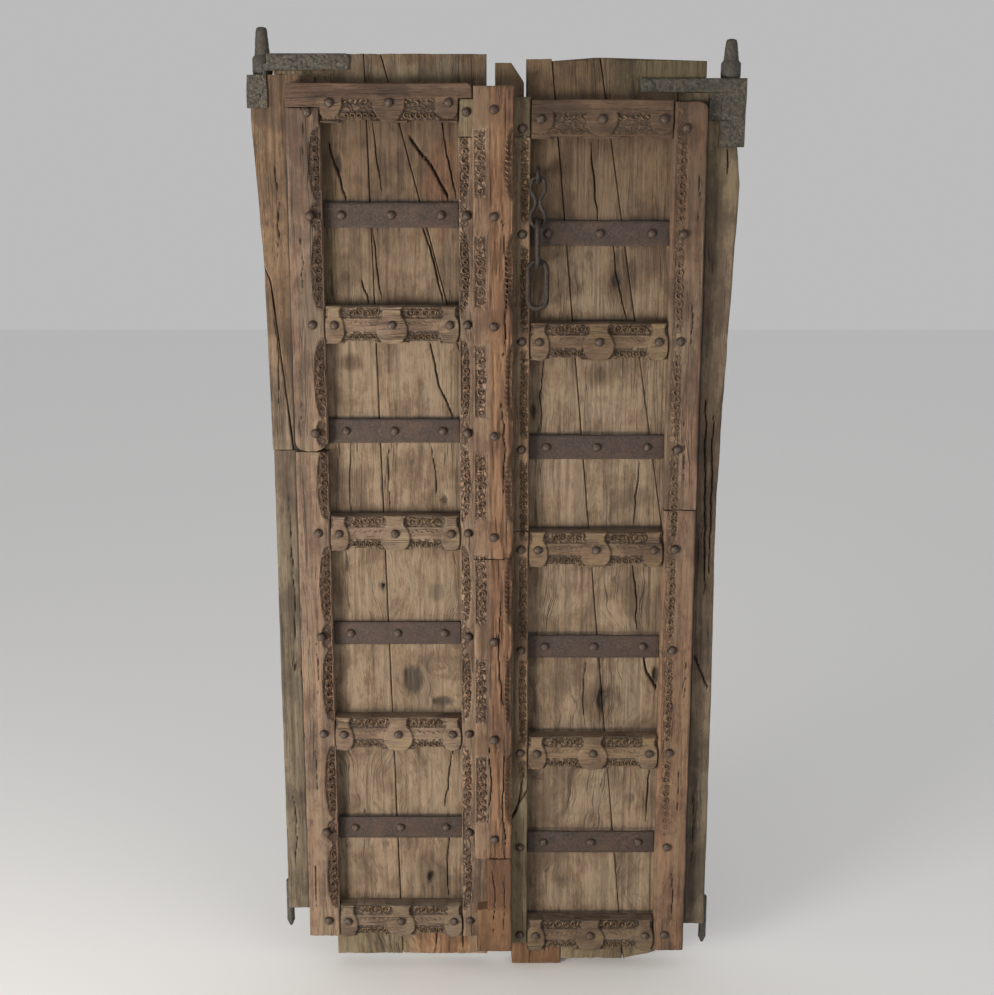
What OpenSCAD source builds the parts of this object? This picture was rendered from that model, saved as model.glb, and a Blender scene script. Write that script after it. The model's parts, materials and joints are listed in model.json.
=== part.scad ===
// Pair of studded plank door leaves that turn on iron pivots at their outer edges.
// X runs along the doorway, -Y is the carved front and +Z is up. Both leaves are shut.
// The origin lies on the ground below the middle of the closed pair.

/* [Doorway] */
// Distance between the two pivot axes
pivot_span = 948; // [800:1:1150]
// Height from one row of studs to the next
row_pitch = 225; // [190:1:260]
// Height of the lowest row of studs on the left leaf
left_row0 = 126; // [116:1:160]
// Height of the lowest row of studs on the right leaf
right_row0 = 90; // [84:1:110]

/* [Boards] */
// Thickness of the back boards
board_t = 34; // [24:1:45]
// Thickness of the boards that carry the pivots
pivot_board_t = 44; // [36:1:60]
// Width that a back board keeps behind the hinge stile
board_tuck = 11; // [5:1:20]
// Gap between neighbouring boards
board_gap = 2; // [1:0.5:3]
// Free edge of the left boards, left of the middle
left_board_edge = 22; // [14:1:30]
// Free edge of the right boards, left of the middle
right_board_edge = 2; // [0:1:6]

/* [Front frame] */
// Thickness of the front frame
frame_t = 32; // [24:1:45]
// Width of the hinge stiles
stile_w = 70; // [55:1:90]
// Distance from the pivot axis in to the hinge stile
side_edge = 49; // [42:1:60]
// Height of the rails
rail_h = 78; // [60:1:95]
// Height that the carved bosses stand proud of a rail
boss_t = 4; // [2:0.5:6]
// Width of the boss at the middle of a rail
boss_w = 74; // [50:1:90]
// Panel edge of the left meeting stile, left of the middle
left_meet_in = 78; // [74:1:95]
// Free edge of the left meeting stile, right of the middle
left_meet_edge = 4; // [2:1:6]
// Panel edge of the right meeting stile, right of the middle
right_meet_in = 69; // [66:1:85]
// Free edge of the right meeting stile, right of the middle
right_meet_edge = 12; // [10:1:16]

/* [Cover batten] */
// Thickness of the batten that covers the meeting line
batten_t = 36; // [25:1:45]
// Left edge of the batten, left of the middle
batten_left = 49; // [44:1:50]
// Right edge of the batten, right of the middle
batten_right = 35; // [28:1:36]
// Depth of the rebate that keeps the batten off the right leaf
batten_clear = 0.4; // [0.3:0.1:1]

/* [Ironwork] */
// Height of the iron straps
strap_h = 52; // [40:1:65]
// Thickness of the iron straps and corner irons
strap_t = 5; // [3:0.5:8]
// Radius of the stud heads
head_r = 10; // [8:0.5:11]
// Height of the stud heads
head_h = 8; // [5:0.5:10]
// Radius of the stud shanks
shank_r = 3; // [2:0.5:4]
// Radius of the top pivot pins
top_pin_r = 12; // [9:0.5:16]
// Height of the top pivot pins above their collars
top_pin_h = 56; // [30:1:70]
// Radius of the foot pivots
foot_pin_r = 9; // [7:0.5:12]
// Length of the straight part of the foot pivots
foot_pin_h = 40; // [30:1:60]
// Distance of the pivot axes behind the front face of the boards
pivot_depth = 22; // [22:1:26]

/* [Chain] */
// Distance of the chain from the middle of the doorway
chain_x = 83; // [82:1:95]
// Gap between the hanging ring and the bosses of the rails
chain_gap = 1; // [0.5:0.5:8]
// Bar radius of the staple
staple_r = 5; // [4:0.5:5.5]
// Bar radius of the figure-of-eight link
link_r = 4.5; // [3:0.5:5]
// Height of the figure-of-eight link, outside
link_h = 107; // [90:1:120]
// Bar radius of the long link and the ring
ring_r = 6; // [4:0.5:6]
// Height of the long link, outside
long_h = 105; // [90:1:120]
// Width of the ring, outside
ring_w = 50; // [46:1:60]
// Height of the ring, outside
ring_h = 109; // [90:1:130]

/* [Hidden] */

// Fineness of round shapes.
$fn = 48;
// Overlap that makes a cut clean.
eps = 0.5;
// Clearance of a shank in its hole.
shank_clear = 0.05;
// Clearance at the ends of pieces that butt together.
butt = 0.5;
// Clearance between faces of the chain that bear on each other.
bear = 0.4;

// Rows of studs, from the bottom rail up to the top rail, each with its hand-made drift.
LEFT = -1;
RIGHT = 1;
left_drift = [0, -9, 1, 0, 7, -1, 2, -1, -3];
right_drift = [0, -9, -8, 5, 7, 0, 3, -2, 1];
last_row = 8;
function row_z(side, i) = side == LEFT
  ? left_row0 + i * row_pitch + left_drift[i]
  : right_row0 + i * row_pitch + right_drift[i];

// Distances from the middle of the doorway, the same on both leaves.
pivot_u = pivot_span / 2;
stile_out = pivot_u - side_edge;
stile_in = stile_out - stile_w;
post_in = stile_in + board_tuck;
function meet_in(side) = side == LEFT ? left_meet_in : right_meet_in;

// Depths, measured from the front face of the boards; the pair is centred on the origin.
front_y = frame_t + batten_t + head_h;
mid_y = (front_y - pivot_board_t) / 2;

// Heights of the leaves.
left_bottom = left_row0 - 101;
left_top = row_z(LEFT, last_row) + 97;
right_top = row_z(RIGHT, last_row) + 122;
right_bottom = right_row0 - 78;
frame_foot = rail_h / 2 + 1;

// Colours.
WOOD_DARK = [0.42, 0.34, 0.26];
WOOD_GREY = [0.52, 0.46, 0.37];
WOOD_TAN = [0.62, 0.47, 0.31];
WOOD_NEW = [0.66, 0.42, 0.22];
IRON = [0.30, 0.25, 0.23];
IRON_DARK = [0.20, 0.19, 0.18];

// Flat plate with its outline in X and Z, from the depth y0 to y1.
module plate(points, y0, y1) {
  translate([0, y1, 0])
    rotate([90, 0, 0])
      linear_extrude(height = y1 - y0)
        polygon(points);
}

// Bar that lies square to the axes between two corners.
module block(x0, x1, y0, y1, z0, z1) {
  translate([min(x0, x1), y0, z0])
    cube([abs(x1 - x0), y1 - y0, z1 - z0]);
}

// Bar with rounded top corners on the chosen sides, in X.
module rounded_block(x0, x1, y0, y1, z0, z1, r, round_left, round_right) {
  block(x0, x1, y0, y1, z0, z1 - r);
  block(x0 + (round_left ? r : 0), x1 - (round_right ? r : 0), y0, y1, z1 - r - eps, z1);
  if (round_left)
    translate([x0 + r, y1, z1 - r]) rotate([90, 0, 0]) cylinder(h = y1 - y0, r = r);
  if (round_right)
    translate([x1 - r, y1, z1 - r]) rotate([90, 0, 0]) cylinder(h = y1 - y0, r = r);
}

// ---------------------------------------------------------------- studs

// Places of the studs as [x, z, depth of the face below the head, length of the shank].
frame_shank = frame_t + board_t - 2;
strap_shank = strap_t + board_t - 2;
batten_shank = frame_t + batten_t - 2;
rail_rows = [0, 2, 4, 6, 8];
strap_rows = [1, 3, 5, 7];
rail_stud_in = 19;
strap_stud_in = 36;
hinge_stud_in = 26;
meet_stud_in = 17;

// Columns of studs on the rails and on the straps of one leaf.
function columns(side, inset) = [
  side * (meet_in(side) + inset),
  side * (meet_in(side) + stile_in) / 2,
  side * (stile_in - inset)
];
function rail_studs(side) = [
  for (i = rail_rows) for (x = columns(side, rail_stud_in))
    [x, row_z(side, i), -frame_t - boss_t, frame_shank + boss_t]
];
// The top row of the left leaf sits lower, so that it holds the stile heads too.
function stile_stud_z(side, i) = row_z(side, i) - (i == last_row ? 18 : 0);
function hinge_studs(side) = [
  for (i = [0:last_row])
    [side * (stile_in + hinge_stud_in), stile_stud_z(side, i), -frame_t, frame_shank]
];
function meet_studs(side) = [
  for (i = [0:last_row])
    [side * (meet_in(side) - meet_stud_in), stile_stud_z(side, i), -frame_t, frame_shank]
];
function frame_studs(side) = concat(rail_studs(side), hinge_studs(side), meet_studs(side));
function strap_studs(side) = [
  for (i = strap_rows) for (x = columns(side, strap_stud_in))
    [x, row_z(side, i), -strap_t, strap_shank]
];
batten_stud_x = -6;
function batten_stud_list() = [
  for (i = [1:last_row])
    [batten_stud_x, row_z(LEFT, i) + (i == last_row ? -14 : 0), -frame_t - batten_t, batten_shank]
];

// One domed stud, with its head on the face at depth y and its shank going in.
module stud(s) {
  dome_r = (head_r * head_r + head_h * head_h) / (2 * head_h);
  translate([s[0], s[2], s[1]])
    rotate([90, 0, 0]) {
      intersection() {
        translate([0, 0, head_h - dome_r]) sphere(r = dome_r, $fn = 32);
        cylinder(h = head_h + eps, r = head_r + eps);
      }
      translate([0, 0, -s[3]]) cylinder(h = s[3] + eps, r = shank_r, $fn = 24);
    }
}

// Holes for the shanks of a list of studs, within a range of X and Z.
module shank_holes(list, x0, x1, z0, z1) {
  m = head_r;
  for (s = list)
    if (s[0] > min(x0, x1) - m && s[0] < max(x0, x1) + m && s[1] > z0 - m && s[1] < z1 + m)
      translate([s[0], s[2] - eps, s[1]])
        rotate([-90, 0, 0])
          cylinder(h = s[3] + 2 * eps, r = shank_r + shank_clear, $fn = 24);
}

module leaf_holes(side, x0, x1, z0, z1) {
  shank_holes(frame_studs(side), x0, x1, z0, z1);
  shank_holes(strap_studs(side), x0, x1, z0, z1);
}

// ---------------------------------------------------------------- boards

// Joint lines between the back boards: they lean, so each is given at the top and the foot.
// Each function gives the distance from the middle at the height z.
function lean(z, z0, u0, z1, u1) = u0 + (u1 - u0) * (z - z0) / (z1 - z0);
left_span = left_top - left_bottom;
right_span = right_top - right_bottom;
left_middle = (left_meet_in + stile_in) / 2;
// The wedge joint of the left leaf leans until it runs out at the free edge.
left_wedge_top = left_middle + 17;
left_wedge_foot = left_top - 0.41 * left_span;
// The long joint of the left leaf.
left_joint_top = left_middle + 51;
left_joint_foot = left_middle - 1;
// The two leaning joints of the right leaf.
right_inner_edge = 60;
right_middle = (right_meet_in + stile_in) / 2;
right_joint_top = right_middle - 101;
right_joint_foot = right_middle + 78;
right_wedge_top = right_middle - 4;
right_wedge_foot = right_top - 0.52 * right_span;
right_repair_w = 146;
right_repair_h = right_row0 - 4;
half_gap = board_gap / 2;

// Heads of the pivot boards, below the collars of the top pins.
left_post_top = row_z(LEFT, last_row) + 56;
right_post_top = row_z(RIGHT, last_row) + 81;
collar_u = pivot_u + 25;

module left_pivot_board() color(WOOD_TAN) {
  slip_top = row_z(LEFT, 6) + 118;
  slip_foot = row_z(LEFT, 5) - 42;
  difference() {
    plate([
      [-collar_u, left_post_top], [-collar_u, row_z(LEFT, 7) + 190],
      [-pivot_u - 8, slip_top], [-pivot_u + 5, slip_top - 30],
      [-stile_out - 6, slip_foot], [-post_in, slip_foot],
      [-post_in, left_post_top]
    ], 0, pivot_board_t);
    leaf_holes(LEFT, -collar_u, -post_in, slip_foot, left_post_top);
    shank_holes(left_nails, -collar_u, -post_in, slip_foot, left_post_top);
    pin_socket(LEFT, left_post_top, -1);
  }
}

// Slip of board that fills the scarf outside the upper pivot board.
module left_pivot_slip() color(WOOD_DARK) {
  slip_top = row_z(LEFT, 6) + 118;
  slip_foot = row_z(LEFT, 5) - 42;
  plate([
    [-pivot_u - 8, slip_top - butt], [-pivot_u - 3, slip_foot],
    [-stile_out - 7, slip_foot], [-pivot_u + 4, slip_top - 30]
  ], 0, pivot_board_t);
}

module left_pivot_board_lower() color(WOOD_GREY) {
  top = row_z(LEFT, 5) - 42 - butt;
  foot = left_row0 + 14;
  difference() {
    plate([
      [-pivot_u - 1, top], [-pivot_u - 2, row_z(LEFT, 3)], [-pivot_u - 1, foot], [-post_in, foot], [-post_in, top]
    ], 0, pivot_board_t);
    leaf_holes(LEFT, -pivot_u, -post_in, foot, top);
    pin_socket(LEFT, foot, 1);
  }
}

module left_board_outer() color(WOOD_GREY) {
  difference() {
    plate([
      [-post_in + half_gap, left_bottom], [-post_in + half_gap, left_post_top + butt],
      [-pivot_u + 24, left_post_top + butt], [-pivot_u + 24, left_top],
      [-left_joint_top - half_gap, left_top], [-left_joint_foot - half_gap, left_bottom]
    ], 0, board_t);
    leaf_holes(LEFT, -pivot_u, -left_joint_foot, left_bottom, left_top);
    shank_holes(left_nails, -pivot_u, -left_joint_foot, left_post_top, left_top);
  }
}

module left_board_middle() color(WOOD_GREY) {
  difference() {
    plate([
      [-left_joint_foot + half_gap, left_bottom], [-left_joint_top + half_gap, left_top],
      [-left_wedge_top - half_gap, left_top], [-left_board_edge, left_wedge_foot],
      [-left_board_edge, left_bottom]
    ], 0, board_t);
    leaf_holes(LEFT, -left_joint_top, -left_board_edge, left_bottom, left_top);
  }
}

module left_board_wedge() color(WOOD_DARK) {
  difference() {
    plate([
      [-left_wedge_top + half_gap, left_top], [-left_board_edge, left_wedge_foot + 3 * board_gap],
      [-left_board_edge, left_top]
    ], 0, board_t);
    leaf_holes(LEFT, -left_wedge_top, -left_board_edge, left_wedge_foot, left_top);
  }
}

module right_pivot_post() color(WOOD_GREY) {
  notch = right_post_top - 117;
  foot = right_row0 + 10;
  difference() {
    plate([
      [collar_u, right_post_top], [collar_u, notch], [collar_u - 11, notch - 5],
      [collar_u - 1, row_z(RIGHT, 7) + 100], [pivot_u + 10, row_z(RIGHT, 6)],
      [pivot_u - 2, row_z(RIGHT, 4) + 80], [pivot_u, row_z(RIGHT, 3)],
      [pivot_u + 1, foot],
      [post_in, foot], [post_in, right_post_top]
    ], 0, pivot_board_t);
    leaf_holes(RIGHT, post_in, collar_u, foot, right_post_top);
    shank_holes(right_nails, post_in, collar_u, foot, right_post_top);
    pin_socket(RIGHT, right_post_top, -1);
    pin_socket(RIGHT, foot, 1);
  }
}

module right_board_edge() color(WOOD_TAN) {
  top = right_top - 10;
  difference() {
    plate([
      [-right_board_edge, right_repair_h + butt], [-right_board_edge, top], [28, top],
      [right_inner_edge - 6, top - 38], [right_inner_edge - half_gap, right_repair_h + butt]
    ], 0, board_t);
    leaf_holes(RIGHT, 0, right_inner_edge, 0, right_top);
  }
}

module right_board_inner() color(WOOD_TAN) {
  repair_u = lean(right_repair_h, right_top, right_joint_top, right_bottom, right_joint_foot);
  difference() {
    plate([
      [right_inner_edge + half_gap, right_repair_h + butt],
      [right_inner_edge + half_gap, right_top - 3],
      [right_joint_top - half_gap, right_top - 3],
      [repair_u - half_gap, right_repair_h + butt],
      [right_joint_foot - half_gap, right_bottom], [right_repair_w + butt, right_bottom],
      [right_repair_w + butt, right_repair_h + butt]
    ], 0, board_t);
    leaf_holes(RIGHT, right_inner_edge, right_joint_foot, right_bottom, right_top);
    staple_hole();
  }
}

module right_board_middle() color(WOOD_GREY) {
  difference() {
    plate([
      [right_joint_foot + half_gap, right_bottom], [right_joint_top + half_gap, right_top - 3],
      [right_wedge_top - half_gap, right_top], [post_in - half_gap, right_wedge_foot],
      [post_in - half_gap, right_bottom + 18]
    ], 0, board_t);
    leaf_holes(RIGHT, right_joint_top, post_in, right_bottom, right_top);
  }
}

module right_board_outer() color(WOOD_DARK) {
  difference() {
    plate([
      [right_wedge_top + half_gap, right_top], [stile_out - 2, right_top - 4],
      [stile_out - 2, right_post_top + butt], [post_in - half_gap, right_post_top + butt],
      [post_in - half_gap, right_wedge_foot + 4 * board_gap]
    ], 0, board_t);
    leaf_holes(RIGHT, right_wedge_top, post_in, right_wedge_foot, right_top);
    shank_holes(right_nails, right_wedge_top, post_in, right_wedge_foot, right_top);
  }
}

// Newer piece let in at the foot of the right leaf.
module right_board_repair() color(WOOD_NEW) {
  difference() {
    plate([
      [batten_right, 0], [right_repair_w, 0], [right_repair_w, right_repair_h],
      [batten_right, right_repair_h]
    ], 0, board_t);
    leaf_holes(RIGHT, batten_right, right_repair_w, 0, right_repair_h);
  }
}

// ---------------------------------------------------------------- front frame

left_stile_joint = row_z(LEFT, 5) - 40;
right_stile_joint = row_z(RIGHT, 4) + 86;
left_stile_top = row_z(LEFT, last_row) - 9;

module left_hinge_stile_upper() color(WOOD_DARK) {
  x0 = -stile_out;
  difference() {
    block(x0, x0 + stile_w, -frame_t, 0, left_stile_joint + butt, left_stile_top);
    leaf_holes(LEFT, x0, x0 + stile_w, left_stile_joint, left_stile_top);
  }
}

module left_hinge_stile_lower() color(WOOD_DARK) {
  x0 = -stile_out;
  foot = left_row0 - frame_foot;
  difference() {
    block(x0, x0 + stile_w, -frame_t, 0, foot, left_stile_joint);
    leaf_holes(LEFT, x0, x0 + stile_w, foot, left_stile_joint);
  }
}

module right_hinge_stile_upper() color(WOOD_DARK) {
  top = row_z(RIGHT, last_row) + rail_h / 2 - 4;
  difference() {
    rounded_block(stile_in, stile_out, -frame_t, 0, right_stile_joint + butt, top, 16, false, true);
    leaf_holes(RIGHT, stile_in, stile_out, right_stile_joint, top);
  }
}

module right_hinge_stile_lower() color(WOOD_DARK) {
  foot = right_row0 - frame_foot;
  difference() {
    block(stile_in, stile_out, -frame_t, 0, foot, right_stile_joint);
    leaf_holes(RIGHT, stile_in, stile_out, foot, right_stile_joint);
  }
}

// One length of a meeting stile between two heights.
module meeting_length(side, z0, z1) {
  x0 = side == LEFT ? -left_meet_in : right_meet_edge;
  x1 = side == LEFT ? left_meet_edge : right_meet_in;
  difference() {
    block(x0, x1, -frame_t, 0, z0, z1);
    leaf_holes(side, x0, x1, z0, z1);
    if (side == LEFT) shank_holes(batten_stud_list(), x0, x1, z0, z1);
  }
}

left_meet_joint = row_z(LEFT, last_row) - 67;
left_meet_top = row_z(LEFT, last_row) + 8;
right_meet_joint = row_z(RIGHT, last_row) - 35;
right_meet_top = row_z(RIGHT, last_row) + 44;
right_meet_middle = row_z(RIGHT, 4) + rail_h / 2;
right_foot_joint = row_z(RIGHT, 1) + 80;

module left_meeting_stile_top() color(WOOD_DARK)
  meeting_length(LEFT, left_meet_joint + butt, left_meet_top);

module left_meeting_stile() color(WOOD_DARK)
  meeting_length(LEFT, left_row0 - frame_foot, left_meet_joint);

module right_meeting_stile_top() color(WOOD_GREY)
  meeting_length(RIGHT, right_meet_joint + butt, right_meet_top);

module right_meeting_stile_upper() color(WOOD_GREY)
  meeting_length(RIGHT, right_meet_middle + butt, right_meet_joint);

// The lower length ends in a slanting break, and the foot piece rises to meet it.
module break_cut(below) {
  far = 400;
  x0 = right_meet_edge - 1;
  x1 = right_meet_in + 1;
  z0 = right_foot_joint - 40;
  z1 = right_foot_joint + 60;
  plate(below
    ? [[x0, z0], [x1, z1], [x1, z0 - far], [x0, z0 - far]]
    : [[x0, z0 - butt], [x1, z1 - butt], [x1, z1 + far], [x0, z1 + far]],
    -frame_t - eps, eps);
}

module right_meeting_stile_lower() color(WOOD_GREY)
  difference() {
    meeting_length(RIGHT, right_foot_joint - 40, right_meet_middle);
    break_cut(true);
  }

module right_meeting_stile_foot() color(WOOD_GREY)
  difference() {
    meeting_length(RIGHT, right_row0 - 22, right_foot_joint + 60);
    break_cut(false);
  }

// A rail between its stiles, with one carved boss in the middle and one at each end.
module rail(side, i) {
  z = row_z(side, i);
  u0 = meet_in(side) + butt / 2;
  u1 = stile_in - butt / 2;
  end_w = rail_stud_in * 2;
  drop = 5;
  difference() {
    union() {
      block(side * u0, side * u1, -frame_t, 0, z - rail_h / 2 + drop, z + rail_h / 2);
      for (u = [u0, u1 - end_w])
        block(side * u, side * (u + end_w), -frame_t - boss_t, 0, z - rail_h / 2, z + rail_h / 2 - drop);
      block(side * (u0 + u1 - boss_w) / 2, side * (u0 + u1 + boss_w) / 2,
        -frame_t - boss_t, 0, z - rail_h / 2, z + rail_h / 2 - drop);
    }
    leaf_holes(side, side * u0, side * u1, z - rail_h / 2, z + rail_h / 2);
  }
}

// The top rail of the left leaf runs over the heads of both stiles.
module left_top_rail() color(WOOD_DARK) {
  z = row_z(LEFT, last_row);
  union() {
    rail(LEFT, last_row);
    difference() {
      union() {
        rounded_block(-stile_out, -stile_in + 1, -frame_t, 0, left_stile_top + butt,
          z + rail_h / 2, 12, true, false);
        rounded_block(-left_meet_in - 1, -batten_left - 1, -frame_t, 0, left_meet_top + butt,
          z + rail_h / 2, 12, false, true);
      }
      leaf_holes(LEFT, -stile_out, left_meet_edge, z - rail_h, z + rail_h);
    }
  }
}

module left_rail(i) color(WOOD_DARK) rail(LEFT, i);
module right_rail(i) color(WOOD_GREY) rail(RIGHT, i);

// ---------------------------------------------------------------- cover batten

batten_top = row_z(LEFT, last_row) + 33;
batten_joint = row_z(LEFT, 4) - 49;
batten_foot_joint = row_z(LEFT, 1) - 48;
batten_foot = left_row0 - 58;

module batten_length(z0, z1, x0) {
  difference() {
    block(x0, batten_right, -frame_t - batten_t, -frame_t, z0, z1);
    block(left_meet_edge + 1, batten_right + eps, -frame_t - batten_clear, -frame_t + eps,
      z0 - eps, z1 + eps);
    shank_holes(batten_stud_list(), x0, batten_right, z0, z1);
  }
}

// A stopped chamfer on the free edge of the batten, between two rows of studs.
module edge_chamfer(z0, z1, depth) {
  y = -frame_t - batten_t;
  translate([batten_right, y, z0])
    rotate([0, 0, 45])
      translate([-depth, -depth, 0])
        cube([2 * depth, 2 * depth, z1 - z0]);
}

module batten_upper() color(WOOD_TAN)
  difference() {
    batten_length(batten_joint + butt, batten_top, -batten_left);
    edge_chamfer(row_z(LEFT, 6) - 170, row_z(LEFT, 6) - 50, 8);
  }

module batten_lower() color(WOOD_TAN)
  difference() {
    batten_length(batten_foot_joint + butt, batten_joint, -batten_left);
    for (i = [1:3])
      edge_chamfer(row_z(LEFT, i) + 55, row_z(LEFT, i) + 175, 14);
  }

module batten_repair() color(WOOD_NEW) {
  shoulder = batten_foot + 106;
  difference() {
    union() {
      batten_length(batten_foot, shoulder, -batten_left + 4);
      batten_length(shoulder - eps, batten_foot_joint, -batten_left + 26);
    }
  }
}

// ---------------------------------------------------------------- ironwork

// A strap lies on the boards between the stiles.
module strap(side, i) color(IRON) {
  z = row_z(side, i);
  u0 = meet_in(side) + butt / 2;
  u1 = stile_in - butt / 2;
  difference() {
    block(side * u0, side * u1, -strap_t, 0, z - strap_h / 2, z + strap_h / 2);
    leaf_holes(side, side * u0, side * u1, z - strap_h / 2, z + strap_h / 2);
  }
}

// The tang of a pivot is driven this far into its board.
tang_l = 60;
tang_r = 7;
module pin_socket(side, z, dir) {
  translate([side * pivot_u, pivot_depth, dir > 0 ? z - eps : z - tang_l - eps])
    cylinder(h = tang_l + 2 * eps, r = tang_r + shank_clear, $fn = 32);
}

// Top pivot: a round pin on a collar, with its tang in the board below.
module top_pin(side, z, collar_r, collar_h, pin_h) color(IRON_DARK) {
  translate([side * pivot_u, pivot_depth, 0]) {
    translate([0, 0, z - tang_l]) cylinder(h = tang_l + eps, r = tang_r, $fn = 32);
    translate([0, 0, z]) cylinder(h = collar_h, r = collar_r);
    translate([0, 0, z]) cylinder(h = collar_h + pin_h, r = top_pin_r);
  }
}

left_collar_h = 37;
right_collar_h = 34;
right_pin_short = 13;
module left_top_pin() top_pin(LEFT, left_post_top, 21, left_collar_h, top_pin_h);
module right_top_pin() top_pin(RIGHT, right_post_top, 21, right_collar_h, top_pin_h - right_pin_short);

// Foot pivot: a shoe plate below the board, a straight pin and a worn point.
module foot_pin(side, z, pin_h, tip_h) color(IRON_DARK) {
  translate([side * pivot_u, pivot_depth, 0]) {
    translate([0, 0, z - eps]) cylinder(h = tang_l + eps, r = tang_r, $fn = 32);
    translate([0, 0, z - pin_h]) cylinder(h = pin_h, r = foot_pin_r);
    translate([0, 0, z - pin_h - tip_h]) cylinder(h = tip_h, r1 = 3, r2 = foot_pin_r);
  }
}

left_foot_z = left_row0 + 14;
right_foot_z = right_row0 + 10;
module left_foot_pin() foot_pin(LEFT, left_foot_z, foot_pin_h, 14);
module right_foot_pin() foot_pin(RIGHT, right_foot_z, foot_pin_h, 16);

// Corner irons: one arm down the pivot board and one arm along the heads of the boards.
left_iron_u = pivot_u + 31;
module left_corner_iron() color(IRON_DARK) {
  z1 = left_top;
  arm = 33;
  difference() {
    union() {
      block(-left_iron_u, -pivot_u + 12, -strap_t, 0, left_post_top - 66, left_post_top);
      plate([
        [-pivot_u + 9, z1 - arm], [-pivot_u + 9, z1], [-pivot_u + 173, z1],
        [-pivot_u + 181, z1 - 8], [-pivot_u + 178, z1 - arm]
      ], -strap_t, 0);
      block(-pivot_u + 2, -pivot_u + 12, -strap_t, 0, left_post_top - eps, z1 - arm + 12);
    }
    shank_holes(left_nails, -left_iron_u, 0, left_post_top - 100, left_top);
  }
}

module right_corner_iron() color(IRON_DARK) {
  z1 = right_post_top;
  difference() {
    union() {
      block(pivot_u - 23, left_iron_u, -strap_t, 0, z1 - 136, z1);
      block(pivot_u - 185, pivot_u - 20, -strap_t, 0, z1 - 28, z1);
      block(pivot_u - 46, pivot_u - 20, -strap_t, 0, z1 - 84, z1 - 27);
    }
    shank_holes(right_nails, pivot_u - 200, left_iron_u, z1 - 140, z1);
  }
}

// Nails of the corner irons, with small heads.
nail_r = 5;
nail_l = 16;
left_nails = [
  [-pivot_u - 6, left_post_top - 42, -strap_t, nail_l],
  [-pivot_u + 60, left_top - 16, -strap_t, nail_l],
  [-pivot_u + 150, left_top - 17, -strap_t, nail_l]
];
right_nails = [
  [pivot_u + 4, right_post_top - 100, -strap_t, nail_l],
  [pivot_u - 70, right_post_top - 14, -strap_t, nail_l],
  [pivot_u - 160, right_post_top - 14, -strap_t, nail_l]
];
module nails(list) color(IRON_DARK)
  for (s = list)
    translate([s[0], s[2], s[1]])
      rotate([90, 0, 0]) {
        cylinder(h = 3, r = nail_r, $fn = 24);
        translate([0, 0, -s[3]]) cylinder(h = s[3] + eps, r = shank_r, $fn = 24);
      }

module stud_group(list) color(IRON)
  for (s = list) stud(s);

// ---------------------------------------------------------------- chain

// Heights down the chain: the eye of the staple, then the bars that bear on each other.
chain_out = frame_t + boss_t + ring_r + chain_gap;
eye_r = 13;
eye_z = row_z(RIGHT, 7) + 118;
link_loop = 14.5;
link_top = eye_z - eye_r + staple_r + link_r + bear;
link_foot = link_top - link_h + 2 * link_r;
long_loop = 15;
long_top = link_foot + link_r + ring_r + bear;
long_foot = long_top - long_h + 2 * ring_r;
ring_top = long_foot + 2 * ring_r + bear;

module staple_hole() {
  translate([chain_x, -eps, eye_z])
    rotate([-90, 0, 0]) cylinder(h = board_t + 2 * eps, r = staple_r + shank_clear, $fn = 32);
}

// Staple: an upright eye on a shank driven through the board.
module chain_staple() color(IRON_DARK) {
  translate([chain_x, -chain_out, eye_z]) {
    rotate([0, 90, 0]) rotate_extrude() translate([eye_r, 0]) circle(r = staple_r);
    translate([0, eye_r, 0]) rotate([-90, 0, 0])
      cylinder(h = chain_out - eye_r + board_t - 2, r = staple_r, $fn = 32);
  }
}

// A part of a round bar's ring in the X-Z plane, from angle a0 over the angle da.
module bar_arc(r, bar, a0, da) {
  rotate([90, 0, 0]) rotate([0, 0, a0])
    rotate_extrude(angle = da) translate([r, 0]) circle(r = bar, $fn = 32);
}

// Closed link with straight sides; w is the radius of its bends, h the height between bars.
module oval_link(w, h, r) {
  half = h / 2 - w;
  for (up = [0, 1])
    mirror([0, 0, up]) translate([0, 0, half]) bar_arc(w, r, 0, 180);
  for (s = [-1, 1])
    translate([s * w, 0, -half]) cylinder(h = 2 * half, r = r, $fn = 32);
}

// Link like a figure of eight: two ovals held together by a forged collar at the waist.
module chain_link() color(IRON_DARK) {
  collar = [4 * link_r, 2 * link_r + 1, 3.4 * link_r];
  split = link_r + 0.2;
  loop_h = (link_top - link_foot) / 2 - split;
  translate([chain_x, -chain_out, (link_top + link_foot) / 2]) {
    translate(-collar / 2) cube(collar);
    for (up = [0, 1])
      mirror([0, 0, up])
        translate([0, 0, split + loop_h / 2]) oval_link(link_loop, loop_h, link_r);
  }
}

module chain_long_link() color(IRON_DARK)
  translate([chain_x, -chain_out, (long_top + long_foot) / 2])
    rotate([0, 0, 90])
      oval_link(long_loop, long_top - long_foot, ring_r);

module chain_ring() color(IRON_DARK)
  translate([chain_x, -chain_out, ring_top - (ring_h / 2 - ring_r)])
    oval_link(ring_w / 2 - ring_r, ring_h - 2 * ring_r, ring_r);

// ---------------------------------------------------------------- assembly

// Puts a piece into the frame that is centred on the pair.
module place() translate([0, mid_y, 0]) children();

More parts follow.
